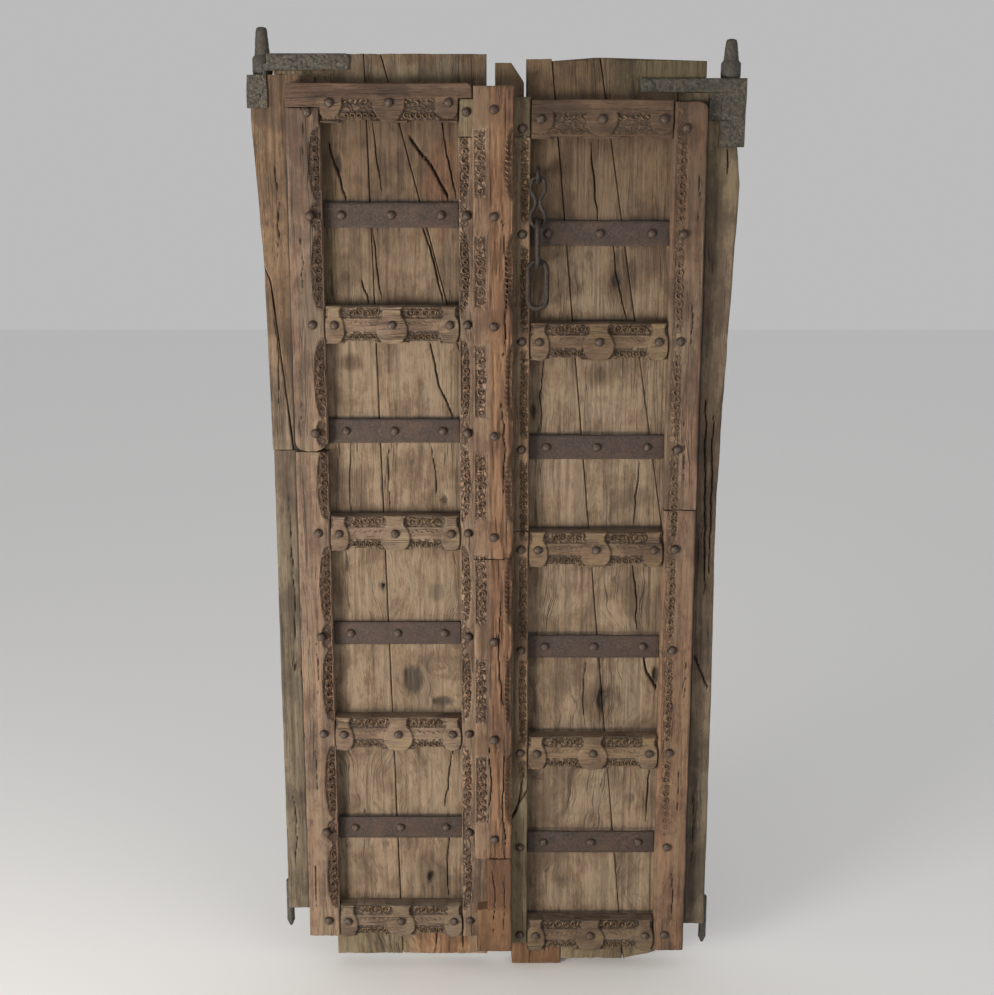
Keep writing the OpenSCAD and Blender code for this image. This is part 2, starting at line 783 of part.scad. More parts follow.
place() left_pivot_board();
place() left_pivot_slip();
place() left_pivot_board_lower();
place() left_board_outer();
place() left_board_middle();
place() left_board_wedge();
place() left_hinge_stile_upper();
place() left_hinge_stile_lower();
place() left_meeting_stile_top();
place() left_meeting_stile();
place() left_top_rail();
place() left_rail(6);  // left_rail_1
place() left_rail(4);  // left_rail_2
place() left_rail(2);  // left_rail_3
place() left_rail(0);  // left_bottom_rail
place() strap(LEFT, 7);  // left_strap_1
place() strap(LEFT, 5);  // left_strap_2
place() strap(LEFT, 3);  // left_strap_3
place() strap(LEFT, 1);  // left_strap_4
place() batten_upper();
place() batten_lower();
place() batten_repair();
place() left_top_pin();
place() left_foot_pin();
place() left_corner_iron();
place() stud_group(frame_studs(LEFT));  // left_frame_studs
place() stud_group(strap_studs(LEFT));  // left_strap_studs
place() stud_group(batten_stud_list());  // batten_studs
place() nails(left_nails);  // left_iron_nails
place() right_pivot_post();
place() right_board_edge();
place() right_board_inner();
place() right_board_middle();
place() right_board_outer();
place() right_board_repair();
place() right_hinge_stile_upper();
place() right_hinge_stile_lower();
place() right_meeting_stile_top();
place() right_meeting_stile_upper();
place() right_meeting_stile_lower();
place() right_meeting_stile_foot();
place() right_rail(8);  // right_top_rail
place() right_rail(6);  // right_rail_1
place() right_rail(4);  // right_rail_2
place() right_rail(2);  // right_rail_3
place() right_rail(0);  // right_bottom_rail
place() strap(RIGHT, 7);  // right_strap_1
place() strap(RIGHT, 5);  // right_strap_2
place() strap(RIGHT, 3);  // right_strap_3
place() strap(RIGHT, 1);  // right_strap_4
place() right_top_pin();
place() right_foot_pin();
place() right_corner_iron();
place() stud_group(frame_studs(RIGHT));  // right_frame_studs
place() stud_group(strap_studs(RIGHT));  // right_strap_studs
place() nails(right_nails);  // right_iron_nails
place() chain_staple();
place() chain_link();
place() chain_long_link();
place() chain_ring();
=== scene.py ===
"""Looks of a pair of old studded plank door leaves: worn wood, carving, rusty iron and a chain.

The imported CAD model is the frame. Every wooden piece is built again as a weathered board that follows
the outline of its CAD node. Studs, nails and carved motifs are placed by one Geometry Nodes tree.
"""

import json
import math

import bmesh
import bpy
import numpy as np
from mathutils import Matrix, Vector


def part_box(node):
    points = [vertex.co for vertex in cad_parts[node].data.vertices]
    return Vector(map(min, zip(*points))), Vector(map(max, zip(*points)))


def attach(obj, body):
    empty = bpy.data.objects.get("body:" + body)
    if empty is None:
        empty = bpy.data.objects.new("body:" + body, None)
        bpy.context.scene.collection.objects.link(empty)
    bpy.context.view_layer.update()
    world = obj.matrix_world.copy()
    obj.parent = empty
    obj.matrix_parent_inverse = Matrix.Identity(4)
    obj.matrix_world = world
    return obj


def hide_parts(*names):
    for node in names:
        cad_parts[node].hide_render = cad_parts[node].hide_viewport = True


bl_info = {
    "name": "Studded Door Leaves",
    "version": (1, 0, 0),
    "blender": (4, 5, 0),
    "location": "3D View > Sidebar > Door",
    "description": "Builds the weathered looks of a pair of studded plank door leaves",
    "category": "Object",
}

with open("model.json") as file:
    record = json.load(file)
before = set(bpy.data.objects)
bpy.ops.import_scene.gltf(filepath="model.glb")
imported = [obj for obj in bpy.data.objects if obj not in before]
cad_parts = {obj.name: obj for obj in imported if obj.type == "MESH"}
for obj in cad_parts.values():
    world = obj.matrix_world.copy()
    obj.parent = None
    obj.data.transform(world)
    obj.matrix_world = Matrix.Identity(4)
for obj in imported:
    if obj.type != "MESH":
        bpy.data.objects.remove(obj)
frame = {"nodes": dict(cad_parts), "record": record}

MM = 0.001
LEFT, RIGHT = "left_leaf", "right_leaf"
RECORD = frame["record"]
BODY_OF = {node: body for body, nodes in RECORD["behaviour"]["bodies"].items() for node in nodes}
SLOT_OF = {part["node"]: part["material_slot"] for part in RECORD["subparts"]}
RAILS = ("top_rail", "rail_1", "rail_2", "rail_3", "bottom_rail")

# Places in the frame, in metres: the panels' outer edges, the left panel's inner edge, the boards' front
PANEL_OUTER = 0.355
LEFT_PANEL_INNER = 0.078
BOARD_FRONT = 0.016
# Half the height of a rail, and how far its end studs stand from the panel's edges
HALF_RAIL = 0.039
END_STUD = 0.019


# ---------------------------------------------------------------- numbers over a surface


def smooth(value, start, end):
    """0 before start, 1 after end and a smooth rise between them."""
    t = np.clip((value - start) / (end - start), 0.0, 1.0)
    return t * t * (3.0 - 2.0 * t)


def bump_at(distance, width):
    """1 at distance 0, falling to 0 like a bell of that width."""
    return np.exp(-((distance / width) ** 2))


class Noise:
    """Smooth value noise over a random lattice that wraps round."""

    SIZE = 64

    def __init__(self, seed):
        self.lattice = np.random.default_rng(seed).random((self.SIZE, self.SIZE))

    def __call__(self, u, v):
        """Noise from 0 to 1 at the lattice position (u, v)."""
        i, j = np.floor(u).astype(int), np.floor(v).astype(int)
        a, b = smooth(u - i, 0.0, 1.0), smooth(v - j, 0.0, 1.0)
        i, j = i % self.SIZE, j % self.SIZE
        k, m = (i + 1) % self.SIZE, (j + 1) % self.SIZE
        g = self.lattice
        return (g[i, j] * (1 - a) + g[k, j] * a) * (1 - b) + (g[i, m] * (1 - a) + g[k, m] * a) * b

    def layered(self, u, v, octaves=3):
        """Sum of finer and finer noise, from 0 to 1."""
        total = sum(self(u * 2**o + 7 * o, v * 2**o + 13 * o) / 2**o for o in range(octaves))
        return total / sum(1 / 2**o for o in range(octaves))


def line_distance(x, z, points):
    """Distance to a broken line and how far along it the nearest point lies, from 0 to 1."""
    best = np.full(x.shape, 1e9)
    along = np.zeros(x.shape)
    count = len(points) - 1
    for k in range(count):
        ax, az = points[k]
        dx, dz = points[k + 1][0] - ax, points[k + 1][1] - az
        t = np.clip(((x - ax) * dx + (z - az) * dz) / (dx * dx + dz * dz), 0, 1)
        d = np.hypot(x - ax - t * dx, z - az - t * dz)
        along = np.where(d < best, (k + t) / count, along)
        best = np.minimum(best, d)
    return best, along


class Surface:
    """The worn front of one wooden piece: depth below its face, and what the shader is told of it."""

    def __init__(self, across, along, upright, seed):
        self.across, self.along = across, along
        self.grid = abs(along[1, 0] - along[0, 0])
        self.x, self.z = (across, along) if upright else (along, across)
        self.noise = Noise(seed)
        self.depth = np.zeros(across.shape)
        # Painted shade in cracks, hollows and recesses, and the dark of knot hearts; the shader darkens
        # the colour by it.
        self.cavity = np.zeros(across.shape)
        self.bend = np.zeros(across.shape)
        self.carved = np.zeros(across.shape)
        self.tint = np.ones(across.shape + (3,))

    def weather(self, relief):
        """Ridges and hollows along the grain, as soft wood wears away faster than hard."""
        n = self.noise
        ridges = n.layered(self.across / (9 * MM), self.along / (210 * MM))
        sweep = n(self.across / (45 * MM) + 9, self.along / (330 * MM))
        worn = smooth(ridges, 0.35, 0.8)
        self.depth += relief * (0.75 * worn + 0.5 * sweep)
        # Painted shade: the worn-down grooves are darkened.
        self.cavity = np.maximum(self.cavity, 0.35 * worn)

    def crack(self, points, width=2.0, depth=8.0):
        """A split along a line of points in mm; it runs out at both ends and wanders a little."""
        path = [(px * MM, pz * MM) for px, pz in points]
        wander = (self.noise.layered(self.along / (24 * MM), self.along * 0 + 3) - 0.5) * 6 * MM
        d, t = line_distance(self.x + wander, self.z, path)
        taper = smooth(t, 0, 0.3) * (1 - smooth(t, 0.7, 1.0)) * 0.7 + 0.3
        run, rise = abs(path[-1][0] - path[0][0]), abs(path[-1][1] - path[0][1])
        level = run / (run + rise)
        mark = bump_at(d, np.maximum(0.5 * width * MM * taper, 0.75 * self.grid * level))
        self.depth += depth * MM * mark
        # Painted shade inside the split.
        self.cavity = np.maximum(self.cavity, np.clip(mark * 1.5, 0, 1))

    def hollow(self, x, z, half_x, half_z, depth, dark=0.6, ragged=0.5):
        """A dent, knot hole or chip, of a ragged oval outline, in mm."""
        r = np.hypot((self.x - x * MM) / (half_x * MM), (self.z - z * MM) / (half_z * MM))
        r += ragged * (self.noise.layered(self.x / (9 * MM), self.z / (14 * MM)) - 0.5)
        mark = 1 - smooth(r, 0.45, 1.0)
        self.depth += depth * MM * mark
        # Painted shade inside the dent, of strength dark.
        self.cavity = np.maximum(self.cavity, dark * mark)

    def knot(self, x, z, radius, dark=0.5):
        """A knot: the grain flows round it, and its heart is dark and a little sunk."""
        dx, dz = self.x - x * MM, self.z - z * MM
        reach = radius * MM
        pull = bump_at(dz, 4.5 * reach)
        self.bend += -np.sign(dx) * pull * reach * np.exp(-np.abs(dx) / (2.2 * reach))
        r = np.hypot(dx, dz / 1.3) / reach
        rings = 0.5 + 0.5 * np.cos(r * 9.0)
        heart = 1 - smooth(r, 0.5, 1.1)
        self.depth += 1.6 * MM * heart + 0.7 * MM * rings * bump_at(r, 1.4)
        self.cavity = np.maximum(self.cavity, dark * heart)
        self.cavity = np.maximum(self.cavity, 0.3 * rings * bump_at(r, 1.5))

    def stain(self, x, z, half_x, half_z, colour, strength=0.8):
        """A soft patch where the colour is multiplied, in mm."""
        r = np.hypot((self.x - x * MM) / (half_x * MM), (self.z - z * MM) / (half_z * MM))
        r += 0.7 * (self.noise.layered(self.x / (22 * MM), self.z / (70 * MM)) - 0.5)
        mark = strength * (1 - smooth(r, 0.55, 1.1))
        self.tint *= 1 + mark[..., None] * (np.array(colour) - 1)

    def paint(self, mask, colour):
        """Multiplies the colour where the mask is 1."""
        self.tint *= 1 + mask[..., None] * (np.array(colour) - 1)

    def sink(self, mask, depth, dark=0.3, carved=1.0):
        """Cuts the masked part back by a depth in metres, with small carving in its ground and painted
        shade of strength dark.
        """
        self.depth += mask * depth
        self.carved = np.maximum(self.carved, mask * carved)
        # Painted shade in the sunk ground.
        self.cavity = np.maximum(self.cavity, mask * dark)

    def round_edges(self, low, high, start, end, radius):
        """Wears the arrises: low and high bound the piece across, start and end along."""
        for gap in (self.across - low, high - self.across, self.along - start, end - self.along):
            s = np.clip(gap / radius, 0, 1)
            self.depth += radius * (1 - np.sqrt(1 - (1 - s) ** 2)) * 0.8


# ---------------------------------------------------------------- meshes from the frame


def outline(node, axis, width_axis, levels):
    """Lowest and highest place of a CAD node along width_axis, at each level along axis."""
    mesh = frame["nodes"][node].data
    mesh.calc_loop_triangles()
    co = np.array([v.co for v in mesh.vertices])
    corners = co[np.array([t.vertices for t in mesh.loop_triangles])]
    a, b = corners.reshape(-1, 3), corners[:, [1, 2, 0]].reshape(-1, 3)
    low, high = [], []
    for level in np.clip(levels, co[:, axis].min() + 0.2 * MM, co[:, axis].max() - 0.2 * MM):
        hit = (a[:, axis] - level) * (b[:, axis] - level) < 0
        t = (level - a[hit, axis]) / (b[hit, axis] - a[hit, axis])
        w = a[hit, width_axis] + t * (b[hit, width_axis] - a[hit, width_axis])
        low.append(w.min())
        high.append(w.max())
    return np.array(low), np.array(high)


def new_mesh(name, points, faces):
    """A mesh from arrays of points and quads, with other faces given as lists."""
    mesh = bpy.data.meshes.new(name)
    mesh.from_pydata([tuple(p) for p in points], [], [tuple(int(i) for i in f) for f in faces])
    mesh.shade_smooth()
    mesh.set_sharp_from_angle(angle=math.radians(48))
    return mesh


def add_facts(mesh, grain, cavity, tint, carved=None):
    """Stores what the wood and iron shaders read: grain coordinates, painted shade with the dark of knot
    hearts, tint and carving.
    """
    if carved is not None:
        mesh.attributes.new("carved", "FLOAT", "POINT").data.foreach_set("value", carved.ravel())
    mesh.attributes.new("grain", "FLOAT_VECTOR", "POINT").data.foreach_set("vector", grain.ravel())
    mesh.attributes.new("cavity", "FLOAT", "POINT").data.foreach_set("value", cavity.ravel())
    colour = np.column_stack([tint.reshape(-1, 3), np.ones(len(tint.reshape(-1, 3)))])
    mesh.attributes.new("tint", "FLOAT_COLOR", "POINT").data.foreach_set("color", colour.ravel())


def worn_piece(
    node, surface, step, upright=True, seed=1, arris=3.0, ragged=2.0, ends=1.5, corner=0.0
):
    """Builds a worn board inside the outline of a CAD node.

    surface(s, box) shapes the front. step is the grid in mm across and along the grain, arris the
    radius of the worn edges, ragged and ends how unevenly sides and ends are broken, and corner
    the radius of the two corners at the lower end, all in mm.
    """
    lo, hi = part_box(node)
    axis, width_axis = (2, 0) if upright else (0, 2)
    length, width = hi[axis] - lo[axis], hi[width_axis] - lo[width_axis]
    rows = np.linspace(lo[axis], hi[axis], max(6, round(length / (step[1] * MM))))
    low, high = outline(node, axis, width_axis, rows)
    noise = Noise(seed + 100)
    uneven = ragged * MM
    low = low + uneven * noise(rows / (38 * MM), rows * 0 + 1)
    high = high - uneven * noise(rows / (38 * MM), rows * 0 + 8)
    if corner:
        short = np.clip(1 - (rows - rows[0]) / (corner * MM), 0, 1)
        inset = corner * MM * (1 - np.sqrt(1 - short**2)) * 0.9
        low, high = low + inset, high - inset
    share = np.linspace(0, 1, max(4, round(width / (step[0] * MM))))
    across = low[:, None] + (high - low)[:, None] * share
    end = noise.layered(across / (16 * MM), across * 0 + 4) * ends * MM
    fade = smooth(rows, rows[0], rows[0] + 0.02)[:, None]
    fade_top = smooth(-rows, -rows[-1], -rows[-1] + 0.02)[:, None]
    along = rows[:, None] + end * (1 - fade) - end[:, ::-1] * (1 - fade_top)
    s = Surface(across, along, upright, seed)
    surface(s, (lo, hi))
    s.round_edges(low[:, None], high[:, None], rows[0], rows[-1], arris * MM)
    depth = np.clip(s.depth, 0, (hi.y - lo.y) - 1.5 * MM)
    back_share = np.array([1.0, 0.66, 0.33, 0.0])
    lap = 1.6 * MM if ragged < 0.5 else 0.0
    back = (low - lap)[:, None] + (high - low + 2 * lap)[:, None] * back_share
    back_along = np.repeat(rows[:, None], 4, 1)
    wide = np.concatenate([across, back], 1)
    long = np.concatenate([along, back_along], 1)
    y = np.concatenate([lo.y + depth, np.full(back.shape, hi.y)], 1)
    axes = (wide, y, long) if upright else (long, y, wide)
    points = np.stack(axes, -1).reshape(-1, 3)
    faces = tube_faces(*wide.shape, flip=not upright)
    mesh = new_mesh(node + "_look", points, faces)
    pad = ((0, 0), (0, 4))
    grain_across = wide + np.pad(s.bend, pad) + (y - lo.y) * 0.6
    offset = np.full(wide.shape, (seed * 0.37) % 5.0)
    grain = np.stack([grain_across + offset, long + offset, offset], -1)
    tint = np.pad(s.tint, pad + ((0, 0),), constant_values=0.8)
    cavity = np.pad(np.clip(s.cavity, 0, 1), pad)
    add_facts(mesh, grain.reshape(-1, 3), cavity, tint, np.pad(s.carved, pad))
    return mesh


def tube_faces(rows, ring, flip=False):
    """Quads between rows of closed rings, with a face at each end."""
    i = np.arange(rows - 1)[:, None] * ring
    j = np.arange(ring)[None, :]
    k = (j + 1) % ring
    quads = np.stack([i + j, i + k, i + ring + k, i + ring + j], -1).reshape(-1, 4)
    first = list(range(ring))[::-1]
    last = list(range((rows - 1) * ring, rows * ring))
    faces = [list(q) for q in quads] + [first, last]
    return [f[::-1] for f in faces] if flip else faces


def add_piece(name, mesh, material, nodes=(), body=None):
    """Puts a mesh into the scene as a finished piece that rides a body and replaces CAD nodes."""
    piece = bpy.data.objects.new(name, mesh)
    bpy.context.scene.collection.objects.link(piece)
    mesh.materials.clear()
    mesh.materials.append(material)
    if nodes:
        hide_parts(*nodes)
    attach(piece, body or BODY_OF[nodes[0]])
    return piece


def add_wood(node, surface, material, **shape):
    """One wooden piece in place of its CAD node."""
    return add_piece(node + "_look", worn_piece(node, surface, **shape), material, [node])


def clusters(node, reach=20 * MM):
    """Centre and box of each solid in a CAD node that holds several, such as a group of studs."""
    points = np.array([v.co for v in frame["nodes"][node].data.vertices])
    found = []
    while len(points):
        near = np.hypot(points[:, 0] - points[0, 0], points[:, 2] - points[0, 2]) < reach
        group = points[near]
        found.append((group.min(0), group.max(0)))
        points = points[~near]
    return found


def stud_rows(node):
    """Heights of the studs of a CAD node, lowest first, without repeats."""
    rows = sorted(float(lo[2] + hi[2]) / 2 for lo, hi in clusters(node))
    return [z for k, z in enumerate(rows) if k == 0 or z - rows[k - 1] > 60 * MM]


# ---------------------------------------------------------------- shader maths


class Socket:
    """An output socket of a shader node, so that shader maths reads as Python expressions."""

    def __init__(self, shader, socket):
        self.shader, self.socket = shader, socket

    def __add__(self, other):
        return self.shader.maths("ADD", self, other)

    def __sub__(self, other):
        return self.shader.maths("SUBTRACT", self, other)

    def __rsub__(self, other):
        return self.shader.maths("SUBTRACT", other, self)

    def __mul__(self, other):
        return self.shader.maths("MULTIPLY", self, other)

    def __truediv__(self, other):
        return self.shader.maths("DIVIDE", self, other)

    def __rtruediv__(self, other):
        return self.shader.maths("DIVIDE", other, self)

    __radd__, __rmul__ = __add__, __mul__

    def ramp(self, start, end):
        """0 up to start, 1 from end, with a smooth rise between."""
        settings = {"interpolation_type": "SMOOTHSTEP"}
        inputs = {"Value": self, "From Min": start, "From Max": end}
        return self.shader.node("ShaderNodeMapRange", settings, inputs)


class Shader:
    """A material whose nodes are made from Python expressions."""

    def __init__(self, name):
        self.material = bpy.data.materials.new(name)
        self.material.use_nodes = True
        self.tree = self.material.node_tree
        self.tree.nodes.clear()

    def node(self, kind, settings=None, inputs=None, output=0):
        """Makes a node, sets it up and returns one of its outputs."""
        node = self.tree.nodes.new(kind)
        for key, value in (settings or {}).items():
            setattr(node, key, value)
        for key, value in (inputs or {}).items():
            if isinstance(value, Socket):
                self.tree.links.new(value.socket, node.inputs[key])
            else:
                node.inputs[key].default_value = value
        return Socket(self, node.outputs[output]) if node.outputs else None

    def maths(self, operation, a, b):
        """A Math node on two sockets or numbers."""
        return self.node("ShaderNodeMath", {"operation": operation}, {0: a, 1: b})

    def vector(self, operation, a, b):
        """A Vector Math node on two sockets or triples."""
        return self.node("ShaderNodeVectorMath", {"operation": operation}, {0: a, 1: b})

    def fact(self, name, output):
        """An attribute of the mesh: its colour, vector or number, by output name."""
        return self.node("ShaderNodeAttribute", {"attribute_name": name}, output=output)

    def noise(self, place, detail=3.0, roughness=0.55):
        """Noise from 0 to 1 at a place that is already scaled."""
        inputs = {"Vector": place, "Scale": 1.0, "Detail": detail, "Roughness": roughness}
        return self.node("ShaderNodeTexNoise", inputs=inputs)

    def curl(self, place):
        """A vector that swirls small carving so that it reads as leaves."""
        place = self.vector("MULTIPLY", place, (60.0, 45.0, 1.0))
        inputs = {"Vector": place, "Scale": 1.0, "Detail": 2.0}
        swirl = self.node("ShaderNodeTexNoise", inputs=inputs, output="Color")
        return self.vector("MULTIPLY", swirl, (2.6, 2.6, 0.0))

    def mix(self, factor, a, b, blend="MIX"):
        """Mixes two colours, each a socket or three numbers."""
        settings = {"data_type": "RGBA", "blend_type": blend}
        a, b = (c if isinstance(c, Socket) else (*c, 1.0) for c in (a, b))
        return self.node("ShaderNodeMix", settings, {0: factor, 6: a, 7: b}, output=2)

    def finish(self, colour, roughness, metallic, height, bump):
        """Joins the surface up: height is in metres and bump is how strongly it is felt."""
        inputs = {"Height": height, "Strength": bump, "Distance": 1.0}
        normal = self.node("ShaderNodeBump", inputs=inputs)
        inputs = {"Base Color": colour, "Roughness": roughness, "Metallic": metallic}
        surface = self.node("ShaderNodeBsdfPrincipled", inputs={**inputs, "Normal": normal})
        self.node("ShaderNodeOutputMaterial", inputs={"Surface": surface})
        return self.material


# The near black that painted shade and the dark of knot hearts mix towards.
DEEP = (0.016, 0.011, 0.008)


def wood_material(name, dark, middle, light, grey, weathered=0.5):
    """Old dry timber: streaked fibres, fine splits, grey weathering, dirt and worn small carving, with
    painted shade in hollows, cuts and splits and a painted highlight on the carving's crests.
    """
    s = Shader(name)
    plain = s.fact("grain", "Vector")
    wander = s.noise(s.vector("MULTIPLY", plain, (14.0, 4.0, 1.0)), 3.0) - 0.5
    shift = s.node("ShaderNodeCombineXYZ", inputs={"X": wander * 0.03})
    grain = s.vector("ADD", plain, shift)
    fibre = s.noise(s.vector("MULTIPLY", grain, (560.0, 14.0, 1.0)), 4.0, 0.65)
    streak = s.noise(s.vector("MULTIPLY", grain, (38.0, 2.2, 1.0)), 4.0, 0.6)
    patch = s.noise(s.vector("MULTIPLY", plain, (12.0, 7.0, 1.0)), 6.0, 0.7)
    blotch = s.noise(s.vector("MULTIPLY", plain, (60.0, 28.0, 1.0)), 5.0, 0.72)
    pores = s.noise(s.vector("MULTIPLY", grain, (1000.0, 40.0, 1.0)), 2.0).ramp(0.56, 0.7)
    lines = s.noise(s.vector("MULTIPLY", grain, (120.0, 2.4, 1.0)), 1.0) - 0.5
    split = 1.0 - s.maths("ABSOLUTE", lines, 0.0).ramp(0.003, 0.016)
    split = split * s.noise(s.vector("MULTIPLY", plain, (17.0, 3.0, 1.0)), 2.0).ramp(0.46, 0.6)
    cells = s.vector("ADD", s.vector("MULTIPLY", plain, (105.0, 80.0, 1.0)), s.curl(plain))
    leaf = s.node("ShaderNodeTexVoronoi", {"feature": "DISTANCE_TO_EDGE"}, {"Vector": cells, "Scale": 1.0})
    carved = s.fact("carved", "Fac")
    crest = leaf.ramp(0.03, 0.26)
    cut = carved * (1.0 - crest)
    hollow = s.fact("cavity", "Fac")
    colour = s.mix(streak.ramp(0.25, 0.52), dark, middle)
    colour = s.mix(fibre.ramp(0.45, 0.7) * 0.45, colour, light)
    colour = s.mix(patch.ramp(0.46, 0.56) * weathered, colour, grey)
    colour = s.mix((1.0 - patch.ramp(0.36, 0.52)) * 0.6, colour, dark)
    colour = s.mix(blotch.ramp(0.53, 0.66) * 0.42, colour, dark)
    colour = s.mix(pores * 0.55, colour, dark)
    # Painted highlight on the crests of the small carving.
    colour = s.mix(carved * crest * 0.3, colour, light)
    colour = s.mix(1.0, colour, s.fact("tint", "Color"), "MULTIPLY")
    # Painted shade: hollows, the cuts between carved leaves and the fine splits darken towards near black.
    shade = s.maths("MAXIMUM", hollow.ramp(0.0, 1.0) * 0.94, s.maths("MAXIMUM", cut * 0.7, split * 0.85))
    colour = s.mix(shade, colour, DEEP)
    height = fibre * 0.0009 + streak * 0.0014 + blotch * 0.0008 - pores * 0.0005
    height = height + carved * crest * 0.0028 - split * 0.0022
    return s.finish(colour, 0.68 + fibre * 0.22, 0.0, height, 0.9)


def iron_material(name, dark, rust, worn, metallic=0.45, rusty=0.5):
    """Old hand-forged iron: dark scale, rust in patches, pits and rubbed places."""
    s = Shader(name)
    place = s.fact("grain", "Vector")
    broad = s.noise(s.vector("MULTIPLY", place, (38.0,) * 3), 4.0)
    fine = s.noise(s.vector("MULTIPLY", place, (210.0,) * 3), 4.0, 0.65)
    pits = s.noise(s.vector("MULTIPLY", place, (620.0,) * 3), 2.0).ramp(0.5, 0.72)
    hollow = s.fact("cavity", "Fac")
    colour = s.mix(fine.ramp(0.38, 0.66), dark, worn)
    colour = s.mix(broad.ramp(0.42, 0.64) * rusty, colour, rust)
    colour = s.mix(pits * 0.5, colour, dark)
    colour = s.mix(1.0, colour, s.fact("tint", "Color"), "MULTIPLY")
    # Painted shade: the hollows given by the mesh, such as the foot of each stud head, darken towards near
    # black.
    colour = s.mix(hollow * 0.8, colour, DEEP)
    height = fine * 0.0009 - pits * 0.0006 + broad * 0.0008
    return s.finish(colour, 0.42 + fine * 0.4, metallic, height, 0.7)


def materials():
    """The nine finishes of the record, by slot, made once."""
    if "wood_boards_look" in bpy.data.materials:
        return {slot: bpy.data.materials[slot + "_look"] for slot in sorted(set(SLOT_OF.values()))}
    grey = (0.225, 0.168, 0.112)
    colours = {
        "wood_boards": ((0.062, 0.038, 0.022), (0.165, 0.110, 0.066), (0.31, 0.225, 0.145), 0.6),
        "wood_frame": ((0.058, 0.034, 0.021), (0.140, 0.088, 0.056), (0.27, 0.185, 0.125), 0.42),
        "wood_pivot": ((0.050, 0.033, 0.021), (0.105, 0.072, 0.046), (0.20, 0.140, 0.090), 0.4),
        "wood_batten": ((0.060, 0.032, 0.018), (0.145, 0.082, 0.046), (0.27, 0.175, 0.110), 0.3),
        "wood_new": ((0.075, 0.033, 0.013), (0.130, 0.062, 0.025), (0.20, 0.108, 0.048), 0.06),
    }
    for slot, (dark, middle, light, weathered) in colours.items():
        wood_material(slot + "_look", dark, middle, light, grey, weathered)
    colours = {
        "strap_iron": ((0.024, 0.015, 0.012), (0.056, 0.031, 0.021), (0.064, 0.043, 0.033), 0.2, 0.55),
        "stud_iron": ((0.040, 0.028, 0.022), (0.085, 0.050, 0.033), (0.125, 0.095, 0.076), 0.4, 0.5),
        "dark_iron": ((0.030, 0.027, 0.022), (0.062, 0.045, 0.031), (0.082, 0.076, 0.062), 0.25, 0.4),
        "chain_iron": ((0.014, 0.011, 0.009), (0.036, 0.023, 0.016), (0.062, 0.048, 0.039), 0.45, 0.35),
    }
    for slot, (dark, rust, worn, metallic, rusty) in colours.items():
        iron_material(slot + "_look", dark, rust, worn, metallic, rusty)
    return materials()


# ---------------------------------------------------------------- carved motifs and studs


def motif_mesh(name, sections, cavity):
    """A small raised shape: sections is a list of rows of points, open underneath; it rises to -Y."""
    rows, ring = len(sections), len(sections[0])
    points = [p for row in sections for p in row]
    faces = tube_faces(rows, ring)
    mesh = new_mesh(name, points, faces)
    # Painted shade: the points where the shape meets the ground are darkened.
    mesh.attributes.new("cavity", "FLOAT", "POINT").data.foreach_set("value", cavity * rows)
    return mesh


def scroll_motif():
    """A C-shaped curl of about unit radius that thins towards its eye."""
    sections = []
    for k in range(15):
        t = k / 14
        angle, r = math.radians(-60 + 400 * t), 1.0 - 0.68 * t
        c, s = math.cos(angle), math.sin(angle)
        w = (0.30 - 0.12 * t) * (0.35 if k == 0 else 1)
        rise = 0.34 * (0.2 if k == 0 else 1)
        sections.append(
            [((r - w) * c, 0.35, (r - w) * s), (r * c, -rise, r * s), ((r + w) * c, 0.35, (r + w) * s)]
        )
    return motif_mesh("scroll_motif", sections, [0.75, 0.0, 0.75])


def leaf_motif():
    """A pointed leaf along Z, two units long, with a ridge down the middle."""
    sections = []
    for k in range(7):
        t = k / 6
        w = 0.42 * math.sin(math.pi * min(0.98, 0.06 + t * 0.92)) + 0.02
        z = -1 + 2 * t
        bend = 0.25 * math.sin(math.pi * t)
        ridge = (bend, -0.30 * math.sin(math.pi * (0.08 + 0.84 * t)), z)
        sections.append([(bend - w, 0.35, z), (bend - w * 0.3, -0.16, z), ridge, (bend + w, 0.35, z)])
    return motif_mesh("leaf_motif", sections, [0.7, 0.1, 0.0, 0.7])


def bar_motif():
    """A short rounded bar along Z, for twisted ropes and slanting notches."""
    sections = []
    for z, w in ((-1.0, 0.12), (-0.8, 0.3), (0.0, 0.36), (0.8, 0.3), (1.0, 0.12)):
        sections.append([(-w, 0.35, z), (-w * 0.5, -w * 0.8, z), (w * 0.5, -w * 0.8, z), (w, 0.35, z)])
    return motif_mesh("bar_motif", sections, [0.7, 0.0, 0.0, 0.7])


def dome_motif(name, height, skirt, lip=0.0):
    """A forged stud head of unit radius: a low dome, with a skirt that goes into the wood."""
    sections, turns = [], 16
    profile = [(1.0, skirt), (1.0, -0.06 * height), (0.9, -0.42 * height), (0.68, -0.76 * height)]
    profile += [(0.38, -0.95 * height), (0.08, -height)]
    for r, y in profile:
        row = []
        for k in range(turns):
            a = math.tau * k / turns
            uneven = 1 - 0.05 * (1 + math.sin(3 * a + 4 * r)) / 2 - lip * (1 + math.cos(2 * a)) / 2
            row.append((r * uneven * math.cos(a), y, r * uneven * math.sin(a)))
        sections.append(row)
    rows = len(sections)
    mesh = new_mesh(name, [p for row in sections for p in row], tube_faces(rows, turns))
    # Painted shade round the skirt and the foot of the dome, where the head meets the wood.
    cavity = [0.75] * turns * 2 + [0.15] * turns + [0.0] * turns * (rows - 3)
    mesh.attributes.new("cavity", "FLOAT", "POINT").data.foreach_set("value", cavity)
    return mesh


